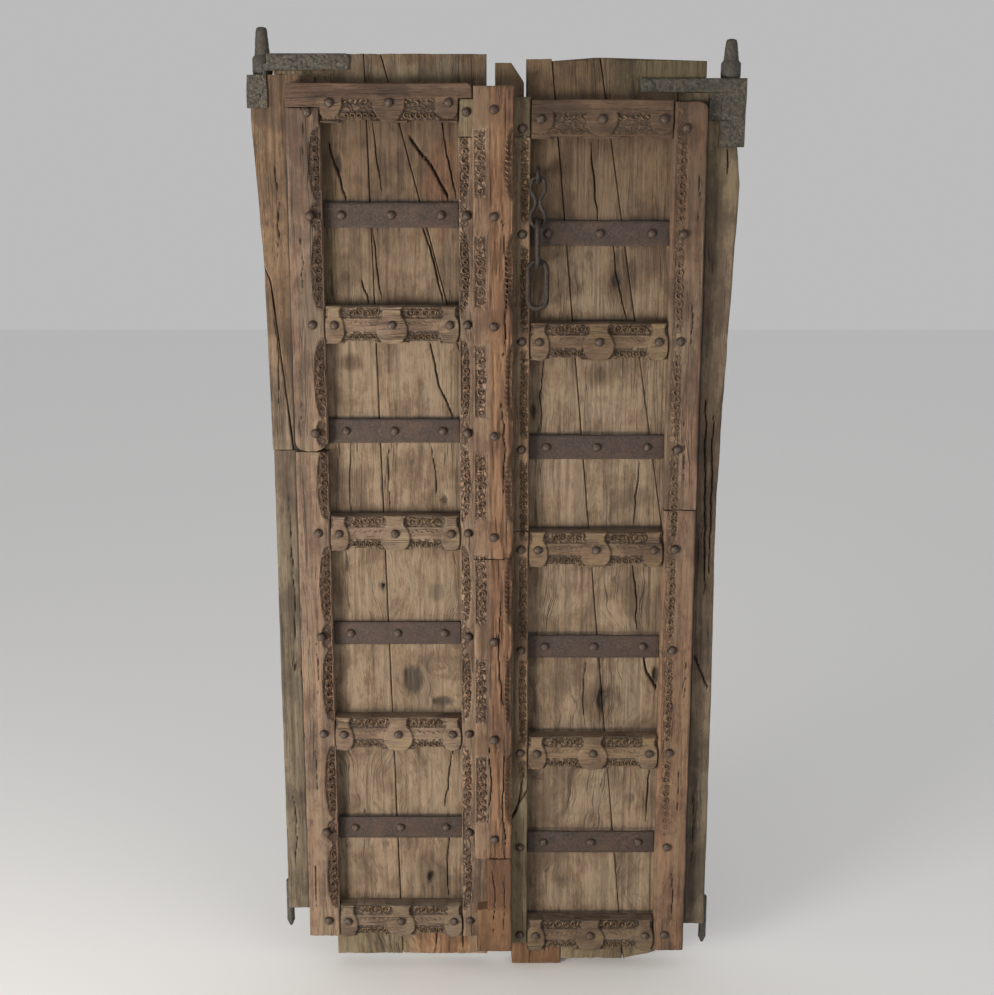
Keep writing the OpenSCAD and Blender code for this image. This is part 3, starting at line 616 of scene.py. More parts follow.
def scatter_tree():
    """The node tree that sets a motif on every point, by its turn and size, with a little play."""
    found = bpy.data.node_groups.get("Scatter Motif")
    if found:
        return found
    tree = bpy.data.node_groups.new("Scatter Motif", "GeometryNodeTree")
    face = tree.interface
    face.new_socket("Geometry", in_out="OUTPUT", socket_type="NodeSocketGeometry")
    for label, kind in (
        ("Geometry", "NodeSocketGeometry"),
        ("Motif", "NodeSocketObject"),
        ("Material", "NodeSocketMaterial"),
        ("Size", "NodeSocketFloat"),
        ("Turn Play", "NodeSocketFloat"),
        ("Size Play", "NodeSocketFloat"),
        ("Seed", "NodeSocketInt"),
    ):
        face.new_socket(label, in_out="INPUT", socket_type=kind)

    def add(kind, settings=None, inputs=None):
        """Makes a node of the tree, sets it up and links its inputs."""
        node = tree.nodes.new(kind)
        for key, value in (settings or {}).items():
            setattr(node, key, value)
        for key, value in (inputs or {}).items():
            if isinstance(value, bpy.types.NodeSocket):
                tree.links.new(value, node.inputs[key])
            else:
                node.inputs[key].default_value = value
        return node

    def attribute(name):
        """A number that every point of the carrier holds."""
        node = add("GeometryNodeInputNamedAttribute", {"data_type": "FLOAT"}, {"Name": name})
        return node.outputs["Attribute"]

    def maths(operation, a, b):
        """A Math node on two sockets or numbers."""
        return add("ShaderNodeMath", {"operation": operation}, {0: a, 1: b}).outputs[0]

    given = tree.nodes.new("NodeGroupInput").outputs
    dice = {"Seed": given["Seed"], 2: 0.0, 3: 1.0}
    play = add("FunctionNodeRandomValue", {"data_type": "FLOAT"}, dice).outputs[1]
    swing = maths("MULTIPLY", maths("SUBTRACT", play, 0.5), given["Turn Play"])
    turn = maths("ADD", attribute("turn"), swing)
    angles = add("ShaderNodeCombineXYZ", inputs={"Y": turn}).outputs[0]
    less = maths("SUBTRACT", 1.0, maths("MULTIPLY", play, given["Size Play"]))
    size = maths("MULTIPLY", maths("MULTIPLY", attribute("size"), given["Size"]), less)
    motif = add("GeometryNodeObjectInfo", inputs={"Object": given["Motif"]}).outputs["Geometry"]
    inputs = {"Points": given["Geometry"], "Instance": motif, "Rotation": angles, "Scale": size}
    copies = add("GeometryNodeInstanceOnPoints", inputs=inputs).outputs[0]
    real = add("GeometryNodeRealizeInstances", inputs={"Geometry": copies}).outputs[0]
    place = add("GeometryNodeInputPosition").outputs[0]
    settings = {"data_type": "FLOAT_VECTOR", "domain": "POINT"}
    inputs = {"Geometry": real, "Name": "grain", "Value": place}
    kept = add("GeometryNodeStoreNamedAttribute", settings, inputs).outputs[0]
    inputs = {"Geometry": kept, "Material": given["Material"]}
    done = add("GeometryNodeSetMaterial", inputs=inputs).outputs[0]
    tree.links.new(done, tree.nodes.new("NodeGroupOutput").inputs[0])
    return tree


def scatter(name, motif, places, material, turn_play=0.0, size_play=0.0, seed=1):
    """A mesh with the motif set on every place: (x, y, z, turn, size) in mm and degrees, and a tint."""
    points = bpy.data.meshes.new(name + "_points")
    points.from_pydata([[c * MM for c in p[:3]] for p in places], [], [])
    turns = [math.radians(p[3]) for p in places]
    points.attributes.new("turn", "FLOAT", "POINT").data.foreach_set("value", turns)
    sizes = [p[4] * MM for p in places]
    points.attributes.new("size", "FLOAT", "POINT").data.foreach_set("value", sizes)
    tints = [c for p in places for c in (*(p[5] if len(p) > 5 else (1, 1, 1)), 1)]
    points.attributes.new("tint", "FLOAT_COLOR", "POINT").data.foreach_set("color", tints)
    carrier = bpy.data.objects.new(name + "_carrier", points)
    bpy.context.scene.collection.objects.link(carrier)
    shape = bpy.data.objects.new(name + "_motif", motif)
    modifier = carrier.modifiers.new("Scatter", "NODES")
    modifier.node_group = scatter_tree()
    values = {
        "Motif": shape,
        "Material": material,
        "Size": 1.0,
        "Turn Play": turn_play,
        "Size Play": size_play,
        "Seed": seed,
    }
    for item in modifier.node_group.interface.items_tree:
        if item.in_out == "INPUT" and item.name in values:
            modifier[item.identifier] = values[item.name]
    graph = bpy.context.evaluated_depsgraph_get()
    graph.update()
    mesh = bpy.data.meshes.new_from_object(carrier.evaluated_get(graph))
    bpy.data.objects.remove(carrier)
    bpy.data.objects.remove(shape)
    if len(mesh.polygons) < len(places):
        raise RuntimeError(f"{name}: the motif was not set on its {len(places)} places")
    return mesh


def joined(name, meshes):
    """One mesh out of several that share their attributes."""
    parts = [bpy.data.objects.new(f"{name}_{k}", mesh) for k, mesh in enumerate(meshes)]
    for part in parts:
        bpy.context.scene.collection.objects.link(part)
    with bpy.context.temp_override(active_object=parts[0], selected_editable_objects=parts):
        bpy.ops.object.join()
    mesh = parts[0].data
    bpy.data.objects.remove(parts[0])
    mesh.name = name
    return mesh


# ---------------------------------------------------------------- the fronts of the wooden pieces

STUD_ROWS = {"left": stud_rows("left_frame_studs"), "right": stud_rows("right_frame_studs")}
BATTEN_ROWS = stud_rows("batten_studs")
ALL_ROWS = {
    side: sorted(STUD_ROWS[side] + stud_rows(f"{side}_strap_studs")) for side in ("left", "right")
}

# Splits, knots, hollows and stains of the boards, in mm over the doors.
CRACKS = (
    ([(-175, 1853), (-133, 1800), (-101, 1736)], 2.9, 14),
    ([(-253, 1882), (-246, 1820), (-235, 1755)], 1.8, 9),
    ([(-255, 1672), (-248, 1600), (-239, 1525)], 1.8, 9),
    ([(-342, 1842), (-325, 1790), (-308, 1732)], 3.2, 10),
    ([(-280, 1564), (-268, 1523)], 1.8, 8),
    ([(-310, 1229), (-314, 1150), (-313, 1078)], 1.6, 7),
    ([(-230, 1229), (-232, 1150), (-228, 1078)], 1.5, 7),
    ([(-141, 1229), (-130, 1150), (-126, 1078)], 1.6, 8),
    ([(-139, 1430), (-122, 1350), (-96, 1285)], 2.5, 10),
    ([(-150, 1670), (-128, 1600), (-112, 1525)], 2.5, 12),
    ([(-110, 1880), (-96, 1800), (-84, 1735)], 2.2, 10),
    ([(-97, 533), (-108, 450), (-116, 392)], 2.2, 9),
    ([(-108, 320), (-112, 250), (-109, 173)], 1.8, 9),
    ([(-137, 86), (-137, 43)], 2.2, 9),
    ([(-78, 86), (-76, 43)], 2.2, 9),
    ([(192, 1845), (200, 1760), (207, 1695)], 2.5, 12),
    ([(240, 1640), (252, 1560), (268, 1490)], 1.8, 9),
    ([(304, 1199), (300, 1120), (293, 1041)], 1.8, 9),
    ([(294, 964), (304, 875), (307, 810)], 2.2, 11),
    ([(321, 757), (330, 709), (353, 673)], 3.2, 14),
    ([(340, 490), (338, 420), (334, 356)], 2.2, 10),
    ([(100, 1400), (92, 1320), (97, 1245)], 1.8, 9),
    ([(196, 730), (190, 650), (198, 575)], 1.8, 8),
)
KNOTS = (
    (-312, 1576, 11),
    (-306, 1395, 13),
    (-246, 906, 13),
    (-130, 891, 22),
    (-149, 217, 17),
    (192, 1618, 12),
    (249, 1560, 10),
    (90, 1324, 11),
    (233, 652, 24),
    (219, 1370, 16),
    (300, 410, 14),
    (150, 200, 14),
    (-250, 300, 10),
    (-180, 1180, 8),
)
HOLLOWS = (
    (-184, 690, 30, 48, 6.5),
    (-118, 640, 36, 17, 8),
    (-114, 1098, 12, 12, 5),
    (-149, 217, 10, 14, 12),
    (-246, 906, 5, 8, 10),
    (233, 645, 12, 30, 9),
    (250, 1570, 14, 20, 6),
    (-322, 1802, 9, 26, 6),
    (350, 700, 10, 30, 5),
    (76, 1290, 7, 22, 5),
)
STAINS = (
    (-306, 1395, 34, 22, (0.5, 0.42, 0.36), 0.9),
    (-184, 690, 60, 60, (0.7, 0.66, 0.62), 0.7),
    (219, 1370, 40, 34, (0.55, 0.48, 0.42), 0.9),
    (233, 645, 46, 60, (0.5, 0.44, 0.4), 0.9),
    (250, 1570, 40, 60, (0.62, 0.56, 0.5), 0.8),
    (-149, 217, 46, 60, (0.55, 0.5, 0.46), 0.8),
    (76, 1300, 22, 60, (0.5, 0.45, 0.4), 0.8),
    (-345, 1650, 26, 240, (0.86, 0.9, 0.74), 0.7),
    (-110, 1760, 46, 120, (1.2, 0.92, 0.8), 0.8),
    (-250, 1900, 220, 60, (0.66, 0.62, 0.58), 0.7),
    (230, 1860, 200, 40, (0.72, 0.68, 0.62), 0.7),
    (-300, 60, 120, 60, (0.72, 0.8, 0.7), 0.8),
    (-120, 50, 90, 50, (1.25, 0.92, 0.68), 0.8),
    (200, 30, 200, 40, (0.78, 0.84, 0.74), 0.8),
)


def board_face(s, box):
    """A panel board: ridged grain, its splits and knots, a painted shadow just above the frame pieces and
    painted shade towards the top.
    """
    for x, z, radius in KNOTS:
        s.knot(x, z, radius)
    s.weather(2.4 * MM)
    for points, width, depth in CRACKS:
        s.crack(points, width, depth)
    for x, z, half_x, half_z, depth in HOLLOWS:
        s.hollow(x, z, half_x, half_z, depth, 0.75)
    for x, z, half_x, half_z, colour, strength in STAINS:
        s.stain(x, z, half_x, half_z, colour, strength)
    # Painted shadow: a soft darker band and a near-black line on the boards just above the frame piece at
    # each row of frame studs, widest above the top rail.
    side = "left" if box[1].x < 0 else "right"
    for k, row in enumerate(STUD_ROWS[side]):
        top = k == len(STUD_ROWS[side]) - 1
        edge = row + (28 if k % 2 else 44 if top else 41) * MM
        s.paint(0.4 * bump_at(s.z - edge, 14 * MM), (0.5, 0.45, 0.4))
        s.cavity = np.maximum(s.cavity, 0.95 * bump_at(s.z - edge, (6.5 if top else 3.5) * MM))
    # Painted shade: the boards darken towards the top.
    s.paint(smooth(s.z, 1.4, 1.8), (0.6, 0.53, 0.46))
    swirl = s.noise.layered(s.x / (70 * MM) + 3, s.z / (90 * MM)) - 0.5
    s.bend += swirl * 55 * MM * smooth(-s.z, -1.1, -0.8)


def top_paint(s):
    """Thin greenish grey paint left on the boards above the top rail."""
    band = smooth(s.z, 1.955, 1.975)
    patches = smooth(s.noise.layered(s.x / (46 * MM), s.z / (24 * MM)), 0.34, 0.6)
    s.paint(band * patches, (0.98, 1.16, 1.3))
    s.paint(band * (1 - patches) * 0.7, (0.75, 0.72, 0.66))


def left_board_face(s, box):
    """A board of the left leaf, with old paint at its top and one pale patch."""
    board_face(s, box)
    top_paint(s)
    pale = (np.abs(s.x + 182 * MM) < 23 * MM) & (s.z > 1.966) & (s.z < 2.02)
    s.paint(pale * 0.8, (1.45, 1.5, 1.5))


def right_board_face(s, box):
    """A board of the right leaf, tan and dry above the top rail."""
    board_face(s, box)
    above = smooth(s.z, 1.935, 1.95)
    s.paint(above, (0.98, 0.98, 0.88))
    s.paint(above * smooth(s.x, 0.2, 0.26) * 0.9, (0.62, 0.76, 0.7))


def new_board_face(s, box):
    """A later board, only lightly worn."""
    s.weather(0.8 * MM)
    for x in (80, 112):
        s.crack([(x, 70), (x + 2, 8)], 1.5, 4)


def pivot_face(s, box):
    """A pivot board: long splits, orange above and grey below, broken along its outer edge, with a painted
    shadow beside the hinge stile.
    """
    s.weather(3.2 * MM)
    for k in range(3):
        x = box[0].x * 1000 + 20 + 27 * k
        z = box[0].z * 1000 + 90 + (k * 311) % 560
        s.crack([(x, z), (x + 5, z + 110), (x - 2, z + 190)], 1.4, 5)
    side = 1 if box[0].x > 0 else -1
    outer = 0.499 - np.abs(s.x)
    # Painted shadow: a near-black strip on the board up to just outside the hinge stile's outer edge,
    # below 1.93 m.
    s.cavity = np.maximum(s.cavity, 0.9 * (1 - smooth(np.abs(s.x), 0.428, 0.434)) * (s.z < 1.93))
    if side < 0:
        s.paint(smooth(s.z, 1.25, 1.5) * 0.8, (1.02, 0.84, 0.66))
        s.paint(smooth(-s.z, -1.2, -0.9), (0.8, 0.86, 0.84))
        s.crack([(-446, 1120), (-440, 900), (-443, 700)], 1.4, 6)
    else:
        rot = smooth(s.z, 0.82, 0.92) * (1 - smooth(s.z, 1.3, 1.4))
        bites = s.noise.layered(s.x / (12 * MM), s.z / (26 * MM))
        s.depth += rot * smooth(0.04 - outer, -0.02, 0.035) * bites * 16 * MM
        s.paint(rot * 0.6, (0.7, 0.62, 0.52))
        s.paint(smooth(s.z, 1.5, 1.8) * 0.55, (0.9, 0.98, 0.82))
        s.paint((1 - smooth(s.z, 0.42, 0.62)) * 0.5, (0.72, 0.84, 0.8))
        for points in (
            [(467, 1830), (470, 1805), (473, 1783)],
            [(432, 746), (450, 705), (464, 673)],
            [(440, 1330), (447, 1100), (452, 860)],
            [(458, 1280), (462, 1120), (460, 930)],
        ):
            s.crack(points, 2.4, 10)


def beside(s, edge, into):
    """Distance in mm into the piece from an upright line at x = edge metres; into is +1 or -1."""
    return (s.x - edge) * into / MM


def lens(s, rows, edge, into, width, margin=30):
    """Mask of the lens-shaped fields along an edge, one between each two stud rows."""
    mask = np.zeros(s.x.shape)
    gap = beside(s, edge, into)
    for low, high in zip(rows[:-1], rows[1:]):
        half = (high - low) / 2 - margin * MM
        u = np.clip(1 - ((s.z - (low + high) / 2) / half) ** 2, 0, 1)
        reach = width * u**0.28
        mask = np.maximum(mask, smooth(reach - gap, -1.0, 1.5) * (u > 0))
    return mask * (gap > 3)


def stile_stains(s):
    """Pinkish and grey streaks down a stile."""
    streak = smooth(s.noise.layered(s.x / (12 * MM), s.z / (160 * MM)), 0.45, 0.7)
    s.paint(streak * 0.45, (1.3, 1.08, 1.02))
    dull = smooth(s.noise(s.x / (30 * MM) + 20, s.z / (110 * MM)), 0.5, 0.8)
    s.paint(dull * 0.5, (0.66, 0.64, 0.62))


def hinge_stile_face(s, box):
    """A hinge stile: worn broad face, with carved fields or a carved band along its inner edge."""
    s.weather(2.6 * MM)
    stile_stains(s)
    left = box[1].x < 0
    if left:
        s.paint(smooth(s.z, 1.2, 1.5) * 0.9, (0.8, 0.8, 0.82))
        carved = lens(s, ALL_ROWS["left"], -PANEL_OUTER, -1, 25)
        s.sink(carved, 4.5 * MM, 0.3)
        s.paint(carved, (0.6, 0.48, 0.38))
    else:
        gap = beside(s, PANEL_OUTER, 1)
        band = smooth(gap, 9, 11) * (1 - smooth(gap, 30, 32)) * smooth(s.z, 0.3, 0.5)
        s.sink(band, 2.0 * MM, 0.0, 0.6)
        s.paint(band * 0.8, (1.12, 1.12, 1.08))
        s.paint(0.8 + 0 * s.x, (0.84, 0.8, 0.76))
        # Painted shade: the right hinge stile darkens towards the top.
        s.paint(smooth(s.z, 1.5, 1.75) * 0.95, (0.6, 0.54, 0.48))
        s.paint((1 - smooth(s.z, 0.7, 1.1)) * 0.6, (1.12, 0.95, 0.78))
    for k in range(3):
        x = box[0].x * 1000 + 16 + 9 * k if left else box[0].x * 1000 + 40 + 8 * k
        z = box[0].z * 1000 + 60 + (k * 263) % 700
        s.crack([(x, z), (x + 2, z + 70), (x - 1, z + 130)], 1.3, 4)


def meeting_stile_face(s, box):
    """A meeting stile: a narrow carved strip beside the panels, plain at its top block."""
    s.weather(1.8 * MM)
    if box[0].z > 1.85:
        s.paint(0.8 + 0 * s.x, (0.84, 0.96, 0.84))
        return
    if box[0].x < 0:
        carved = lens(s, ALL_ROWS["left"], -LEFT_PANEL_INNER, 1, 24, 26)
        s.sink(carved, 3.5 * MM, 0.05)
        s.paint(carved, (1.25, 1.2, 1.2))
    else:
        gap = beside(s, 0.069, -1)
        strip = smooth(gap, 3, 5) * (1 - smooth(gap, 20, 22)) * smooth(s.z, 0.44, 0.5)
        s.paint(1 - smooth(s.z, 0.44, 0.6), (0.9, 1.0, 0.88))
        open_part = np.ones(s.x.shape)
        for row in ALL_ROWS["right"]:
            open_part *= 1 - bump_at(s.z - row, 22 * MM)
        s.sink(strip * smooth(open_part, 0.3, 0.7), 4 * MM, 0.1)
        s.paint(strip, (1.25, 1.15, 0.98))
        s.paint(smooth(gap, 22, 24) * 0.6, (0.92, 1.04, 0.92))
        s.crack([(60, 480), (52, 430), (44, 395), (30, 370)], 3.5, 9)


def batten_face(s, box):
    """The cover batten: plain blocks at the studs, with coves and carving between them."""
    s.weather(2.4 * MM)
    rows = BATTEN_ROWS
    right_gap = beside(s, 0.035, -1)
    left_gap = beside(s, -0.049, 1)
    between = np.zeros(s.x.shape)
    for low, high in zip(rows[:-1], rows[1:]):
        half = (high - low) / 2 - 34 * MM
        between = np.maximum(between, np.clip(1 - ((s.z - (low + high) / 2) / half) ** 2, 0, 1))
    shape = between**0.35
    s.sink(smooth(17 * shape - right_gap, -2, 6) * (between > 0), 9 * MM, 0.25, 0.7)
    strip = smooth(left_gap, 4, 6) * (1 - smooth(left_gap, 27, 29)) * smooth(between, 0.02, 0.2)
    s.sink(strip, 4 * MM, 0.0)
    s.paint((1 - smooth(left_gap, 28, 31)) * smooth(between, 0.0, 0.1), (1.3, 1.32, 1.4))
    # Painted shade in the sunk line beside the carved strip.
    ridge = bump_at(left_gap - 30, 2.0) * smooth(between, 0.0, 0.1)
    s.depth += 2.5 * MM * ridge
    s.cavity = np.maximum(s.cavity, 0.6 * ridge)
    rough = s.noise.layered(s.x / (6 * MM), s.z / (70 * MM))
    right_part = smooth(left_gap, 31, 38)
    s.depth += right_part * 3.2 * MM * smooth(rough, 0.4, 0.7)
    # Painted shade in the grooves of the rough right part.
    s.cavity = np.maximum(s.cavity, right_part * 0.45 * smooth(rough, 0.55, 0.75))
    s.paint(right_part * 0.75, (0.98, 0.76, 0.56))
    s.paint(smooth(s.z, 1.86, 1.9) * 0.6, (0.66, 0.62, 0.6))
    for points in (
        [(12, 1700), (20, 1560), (16, 1420)],
        [(8, 1330), (18, 1220), (12, 1090)],
        [(10, 900), (4, 780), (14, 640)],
        [(-18, 560), (-12, 470), (-20, 380)],
        [(18, 560), (12, 420), (20, 330)],
    ):
        s.crack(points, 2.2, 7)


def repair_face(s, box):
    """The later foot of the batten: fresher wood with open grain."""
    s.weather(1.6 * MM)
    s.paint(smooth(s.z, 0.17, 0.18), (0.68, 0.6, 0.56))
    s.crack([(-10, 280), (-4, 200), (-8, 120)], 1.6, 5)
    s.crack([(14, 250), (18, 170), (12, 90)], 1.4, 4)


def rail_columns(box):
    """Where the three studs of a rail stand, in metres: both ends and the middle of the panel."""
    low = max(box[0].x, -PANEL_OUTER)
    high = min(box[1].x, -LEFT_PANEL_INNER) if box[1].x < 0 else box[1].x
    return low + END_STUD, (low + high) / 2, high - END_STUD


def boss(u, v, half):
    """Signed distance in mm inside a hanging boss around a stud, for offsets u and v in mm."""
    side = np.interp(v, [-39, -34, -22, -4, 9, 20, 30, 39], [0.3, 0.7, 0.96, 1.0, 0.84, 0.6, 0.6, 0.75])
    return half * side - np.abs(u)


def rail_face(s, box):
    """A carved rail: bosses round the studs, a notched band and scrolls above and below it."""
    row = (box[0].z + box[1].z) / 2 if box[1].z - box[0].z < 0.09 else box[0].z + HALF_RAIL
    v = (s.z - row) / MM
    field = np.full(s.x.shape, -99.0)
    left_end, middle, right_end = rail_columns(box)
    for x, half in ((left_end, 22), (middle, 33), (right_end, 22)):
        field = np.maximum(field, boss((s.x - x) / MM, v, half))
    proud = smooth(field, -0.5, 2.5)
    ground = 4.0 + 5.0 * smooth(v, 13, 15) * (1 - smooth(v, 34, 36))
    ground += 3.5 * (1 - smooth(v, -14, -12)) * smooth(v, -36, -34)
    worn = s.noise.layered(s.x / (60 * MM), s.z / (30 * MM))
    s.depth += (1 - proud) * (ground + 1.4 * worn) * MM
    # Painted shade: the sunk ground darkens with its depth, a dark outline rings each boss and a
    # near-black line runs along the top of the upper band.
    s.cavity = np.maximum(s.cavity, (1 - proud) * 0.3 * smooth(ground, 5, 8))
    s.cavity = np.maximum(s.cavity, 0.5 * bump_at(field + 1.0, 1.2))
    s.cavity = np.maximum(s.cavity, 0.8 * bump_at(v - 36.5, 2.0) * (1 - proud))
    s.carved = np.maximum(s.carved, (1 - proud) * smooth(ground, 4.3, 6))
    s.weather(1.1 * MM)
    if box[0].x > 0:
        s.paint(0.9 + 0 * s.x, (0.84, 0.8, 0.7))
    if box[0].z < 0.1:
        s.paint(0.9 + 0 * s.x, (0.74, 0.76, 0.78))
    pale = s.noise.layered(s.x / (40 * MM) + 5, s.z / (30 * MM))
    s.paint(proud * smooth(pale, 0.5, 0.65) * 0.55, (1.2, 1.25, 0.95))


def right_top_rail_face(s, box):
    """The right top rail: plain above, with low drooping bosses and rows of beads below."""
    v = (s.z - box[0].z) / MM - 39
    field = np.full(s.x.shape, -99.0)
    for x, half in zip(rail_columns(box), (22, 27, 22)):
        u = (s.x - x) / MM
        field = np.maximum(field, half + 6 - np.hypot(u, (v - 2) * 0.9))
    plain = smooth(v, 12, 15)
    proud = np.maximum(smooth(field, -0.5, 2.5), plain)
    band = (1 - proud) * smooth(v, -30, -27)
    s.depth += (1 - proud) * (4.0 + 1.6 * band) * MM
    # Painted shade: a dark outline rings each boss below the plain upper part.
    s.cavity = np.maximum(s.cavity, 0.55 * bump_at(field + 1.0, 1.4) * (1 - plain))
    s.carved = np.maximum(s.carved, 0.7 * band)
    s.paint(0.9 + 0 * s.x, (0.52, 0.44, 0.34))
    s.weather(1.6 * MM)


def top_rail_face(s, box):
    """The left top rail: a plain red-brown upper half over a carved lower half."""
    v = (s.z - box[0].z) / MM
    middle = rail_columns(box)
    field = np.full(s.x.shape, -99.0)
    for x, half in zip(middle, (24, 30, 24)):
        field = np.maximum(field, half + 4 - np.hypot((s.x - x) / MM, (v - 42) * 0.8))
    plain = np.maximum(smooth(v, 48, 50), smooth(-0.357 - s.x, 0, 0.003))
    proud = np.maximum(smooth(field, -0.5, 2.5), plain)
    ground = 4.0 + 4.5 * smooth(v, 4, 6) * (1 - smooth(v, 44, 46))
    s.depth += (1 - proud) * ground * MM
    # Painted shade in the sunk ground of the carved lower half.
    s.cavity = np.maximum(s.cavity, (1 - proud) * 0.35)
    s.carved = np.maximum(s.carved, (1 - proud) * smooth(ground, 4.3, 6))
    s.paint(plain * 0.9, (0.56, 0.45, 0.4))
    s.paint((1 - plain) * 0.8, (0.62, 0.54, 0.46))
    s.weather(1.6 * MM)
    # Painted shade: a dark line along the top edge of the carved lower half, broken by the bosses.
    s.cavity = np.maximum(s.cavity, 0.6 * bump_at(v - 48, 1.6) * (1 - smooth(field, 0, 3)))


def iron_face(s, box):
    """A flat iron strap: rust, pits and a darker upper edge."""
    n = s.noise
    s.depth += 0.5 * MM * n.layered(s.x / (7 * MM), s.z / (7 * MM))
    s.depth += 0.7 * MM * smooth(n.layered(s.x / (26 * MM), s.z / (20 * MM)), 0.55, 0.8)
    top = smooth(s.z, box[1].z - 0.006, box[1].z)
    s.paint(top, (0.6, 0.55, 0.55))
    light = smooth(n.layered(s.x / (34 * MM) + 9, s.z / (18 * MM)), 0.5, 0.75)
    s.paint(light * 0.6, (1.5, 1.35, 1.25))


def corner_face(s, box):
    """A corner iron: deep pits, pale corrosion and flaking edges."""
    iron_face(s, box)
    pits = smooth(s.noise.layered(s.x / (5 * MM) + 30, s.z / (5 * MM)), 0.52, 0.75)
    s.depth += 1.3 * MM * pits
    s.cavity = np.maximum(s.cavity, 0.5 * pits)
    pale = smooth(s.noise.layered(s.x / (11 * MM) + 3, s.z / (9 * MM)), 0.52, 0.68)
    s.paint(pale * 0.6, (1.5, 1.5, 1.3))


# ---------------------------------------------------------------- where the carving goes


def pairs(rows, margin):
    """The open lengths between stud rows, in mm, less a margin at both ends."""
    return [(a / MM + margin, b / MM - margin) for a, b in zip(rows[:-1], rows[1:])]


def strip_carving(rows, x, y, radius, step, margin, flip=1, tint=(1, 1, 1)):
    """Scrolls with leaves between them, up a strip that stops at every stud row."""
    scrolls, leaves = [], []
    for start, end in pairs(rows, margin):
        count = max(1, int((end - start) / step))
        pitch = (end - start) / count
        for k in range(count):
            z = start + (k + 0.5) * pitch
            shrink = 0.62 + 0.38 * math.sin(math.pi * (k + 0.5) / count)
            turn = 40 if k % 2 else 220
            scrolls.append((x, y, z, turn * flip, radius * shrink, tint))
            lean = 55 if k % 2 else -55
            leaves.append((x + flip * radius * 0.3, y, z + pitch / 2, lean, radius * 0.5, tint))
    return scrolls, leaves


def rope(x, y, low, high, step, size, skip=(), clear=20, turn=40, tint=(1.2, 1.15, 1.1)):
    """Slanting bars up a line, left out near the stud rows."""
    bars = []
    for k in range(int((high - low) / step)):
        z = low + (k + 0.5) * step
        if all(abs(z - row / MM) > clear for row in skip):
            bars.append((x, y, z, turn, size, tint))
    return bars


def rail_carving(box, front):
    """Scrolls, leaves and notches of one rail, set out from its bosses."""
    row = (box[0].z + 0.039) / MM
    columns = [x / MM for x in rail_columns(box)]
    scrolls, leaves, bars = [], [], []
    tint = (1.35, 1.3, 1.12) if box[1].x < 0 else (1.0, 0.96, 0.82)
    for a, b, mirror in ((columns[0] + 27, columns[1] - 29, 1), (columns[1] + 29, columns[2] - 27, -1)):
        span = b - a
        for k in range(4):
            x = a + span * (k + 0.5) / 4
            up = 1 if k % 2 else -1
            scrolls.append((x, front + 8.5, row + 25 + up, 90 * mirror + 180 * (k % 2), 8.6, tint))
            leaves.append((x + span / 8, front + 8.5, row + 26, 30 * mirror * up, 7.0, tint))
        for k in range(5):
            x = a + span * (k + 0.5) / 5
            scrolls.append((x, front + 7.0, row - 25, 90 - 90 * mirror, 7.2, tint))
        for k in range(6):
            x = a + span * (k + 0.5) / 6
            bars.append((x, front + 4.3, row + 2 + 3 * (k % 2), 50 * mirror, 4.4, tint))
    return scrolls, leaves, bars


def carving_places(side):
    """All scrolls, leaves and bars of one leaf."""
    rows = ALL_ROWS[side]
    scrolls, leaves, bars = [], [], []
    strips = []
    if side == "left":
        dim, pale = (0.85, 0.72, 0.58), (1.5, 1.42, 1.36)
        strips.append(strip_carving(rows, -366.5, -12.3, 8.6, 17, 44, 1, dim))
        strips.append(strip_carving(rows, -65.0, -13.2, 8.0, 16, 34, 1, pale))
        strips.append(strip_carving(BATTEN_ROWS, -32.5, -48.8, 9.8, 19, 40, -1, pale))
        bars += rope(-46.5, -50.4, 330, 1900, 5.6, 2.6, BATTEN_ROWS, 32, 85)
        bars += rope(20, -49.5, 330, 1900, 11, 4.0, BATTEN_ROWS, 34, -50)
    else:
        olive, pale = (1.15, 1.08, 0.85), (1.1, 1.05, 0.98)
        strips.append(strip_carving(rows, 57.0, -12.9, 8.0, 15, 32, -1, olive))
        strips.append(strip_carving(rows[2:], 375.5, -14.4, 8.0, 15, 24, 1, pale))
        bars += rope(40.5, -15.6, 460, 1850, 6.5, 4.4, (), 0, 50)
    for scroll_list, leaf_list in strips:
        scrolls += scroll_list
        leaves += leaf_list
    for name in RAILS:
        found = rail_carving(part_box(f"{side}_{name}"), -20.0)
        scrolls += found[0]
        leaves += found[1]
        bars += found[2]
    return scrolls, leaves, bars


# ---------------------------------------------------------------- ironwork


def swept(name, path, radii, closed=True, turns=10, squash=1.0, seed=3):
    """A forged bar along a path of points in mm; radii in mm, one for each point."""
    path = np.array(path, float) * MM
    count = len(path)
    ahead = np.roll(path, -1, 0) - np.roll(path, 1, 0)
    if not closed:
        ahead[0], ahead[-1] = path[1] - path[0], path[-1] - path[-2]
    ahead /= np.linalg.norm(ahead, axis=1)[:, None]
    flat = np.ptp(path, axis=0).argmin()
    normal = np.zeros(3)
    normal[flat] = 1.0
    noise = Noise(seed)
    points = []
    for k in range(count):
        side = np.cross(ahead[k], normal)
        side /= np.linalg.norm(side)
        for j in range(turns):
            a = math.tau * j / turns
            rough = 1 - 0.09 * float(noise(np.array(k * 0.5), np.array(j * 0.9)))
            r = radii[k] * MM * rough
            points.append(path[k] + r * (math.cos(a) * side + squash * math.sin(a) * normal))
    points = np.array(points)
    if closed:
        faces = []
        for k in range(count):
            a, b = k * turns, (k + 1) % count * turns
            faces += [[a + j, a + (j + 1) % turns, b + (j + 1) % turns, b + j] for j in range(turns)]
    else:
        faces = tube_faces(count, turns)
    mesh = new_mesh(name, points, faces)
    add_facts(mesh, points, np.zeros(len(points)), np.ones((len(points), 3)))
    return facing_out(mesh)


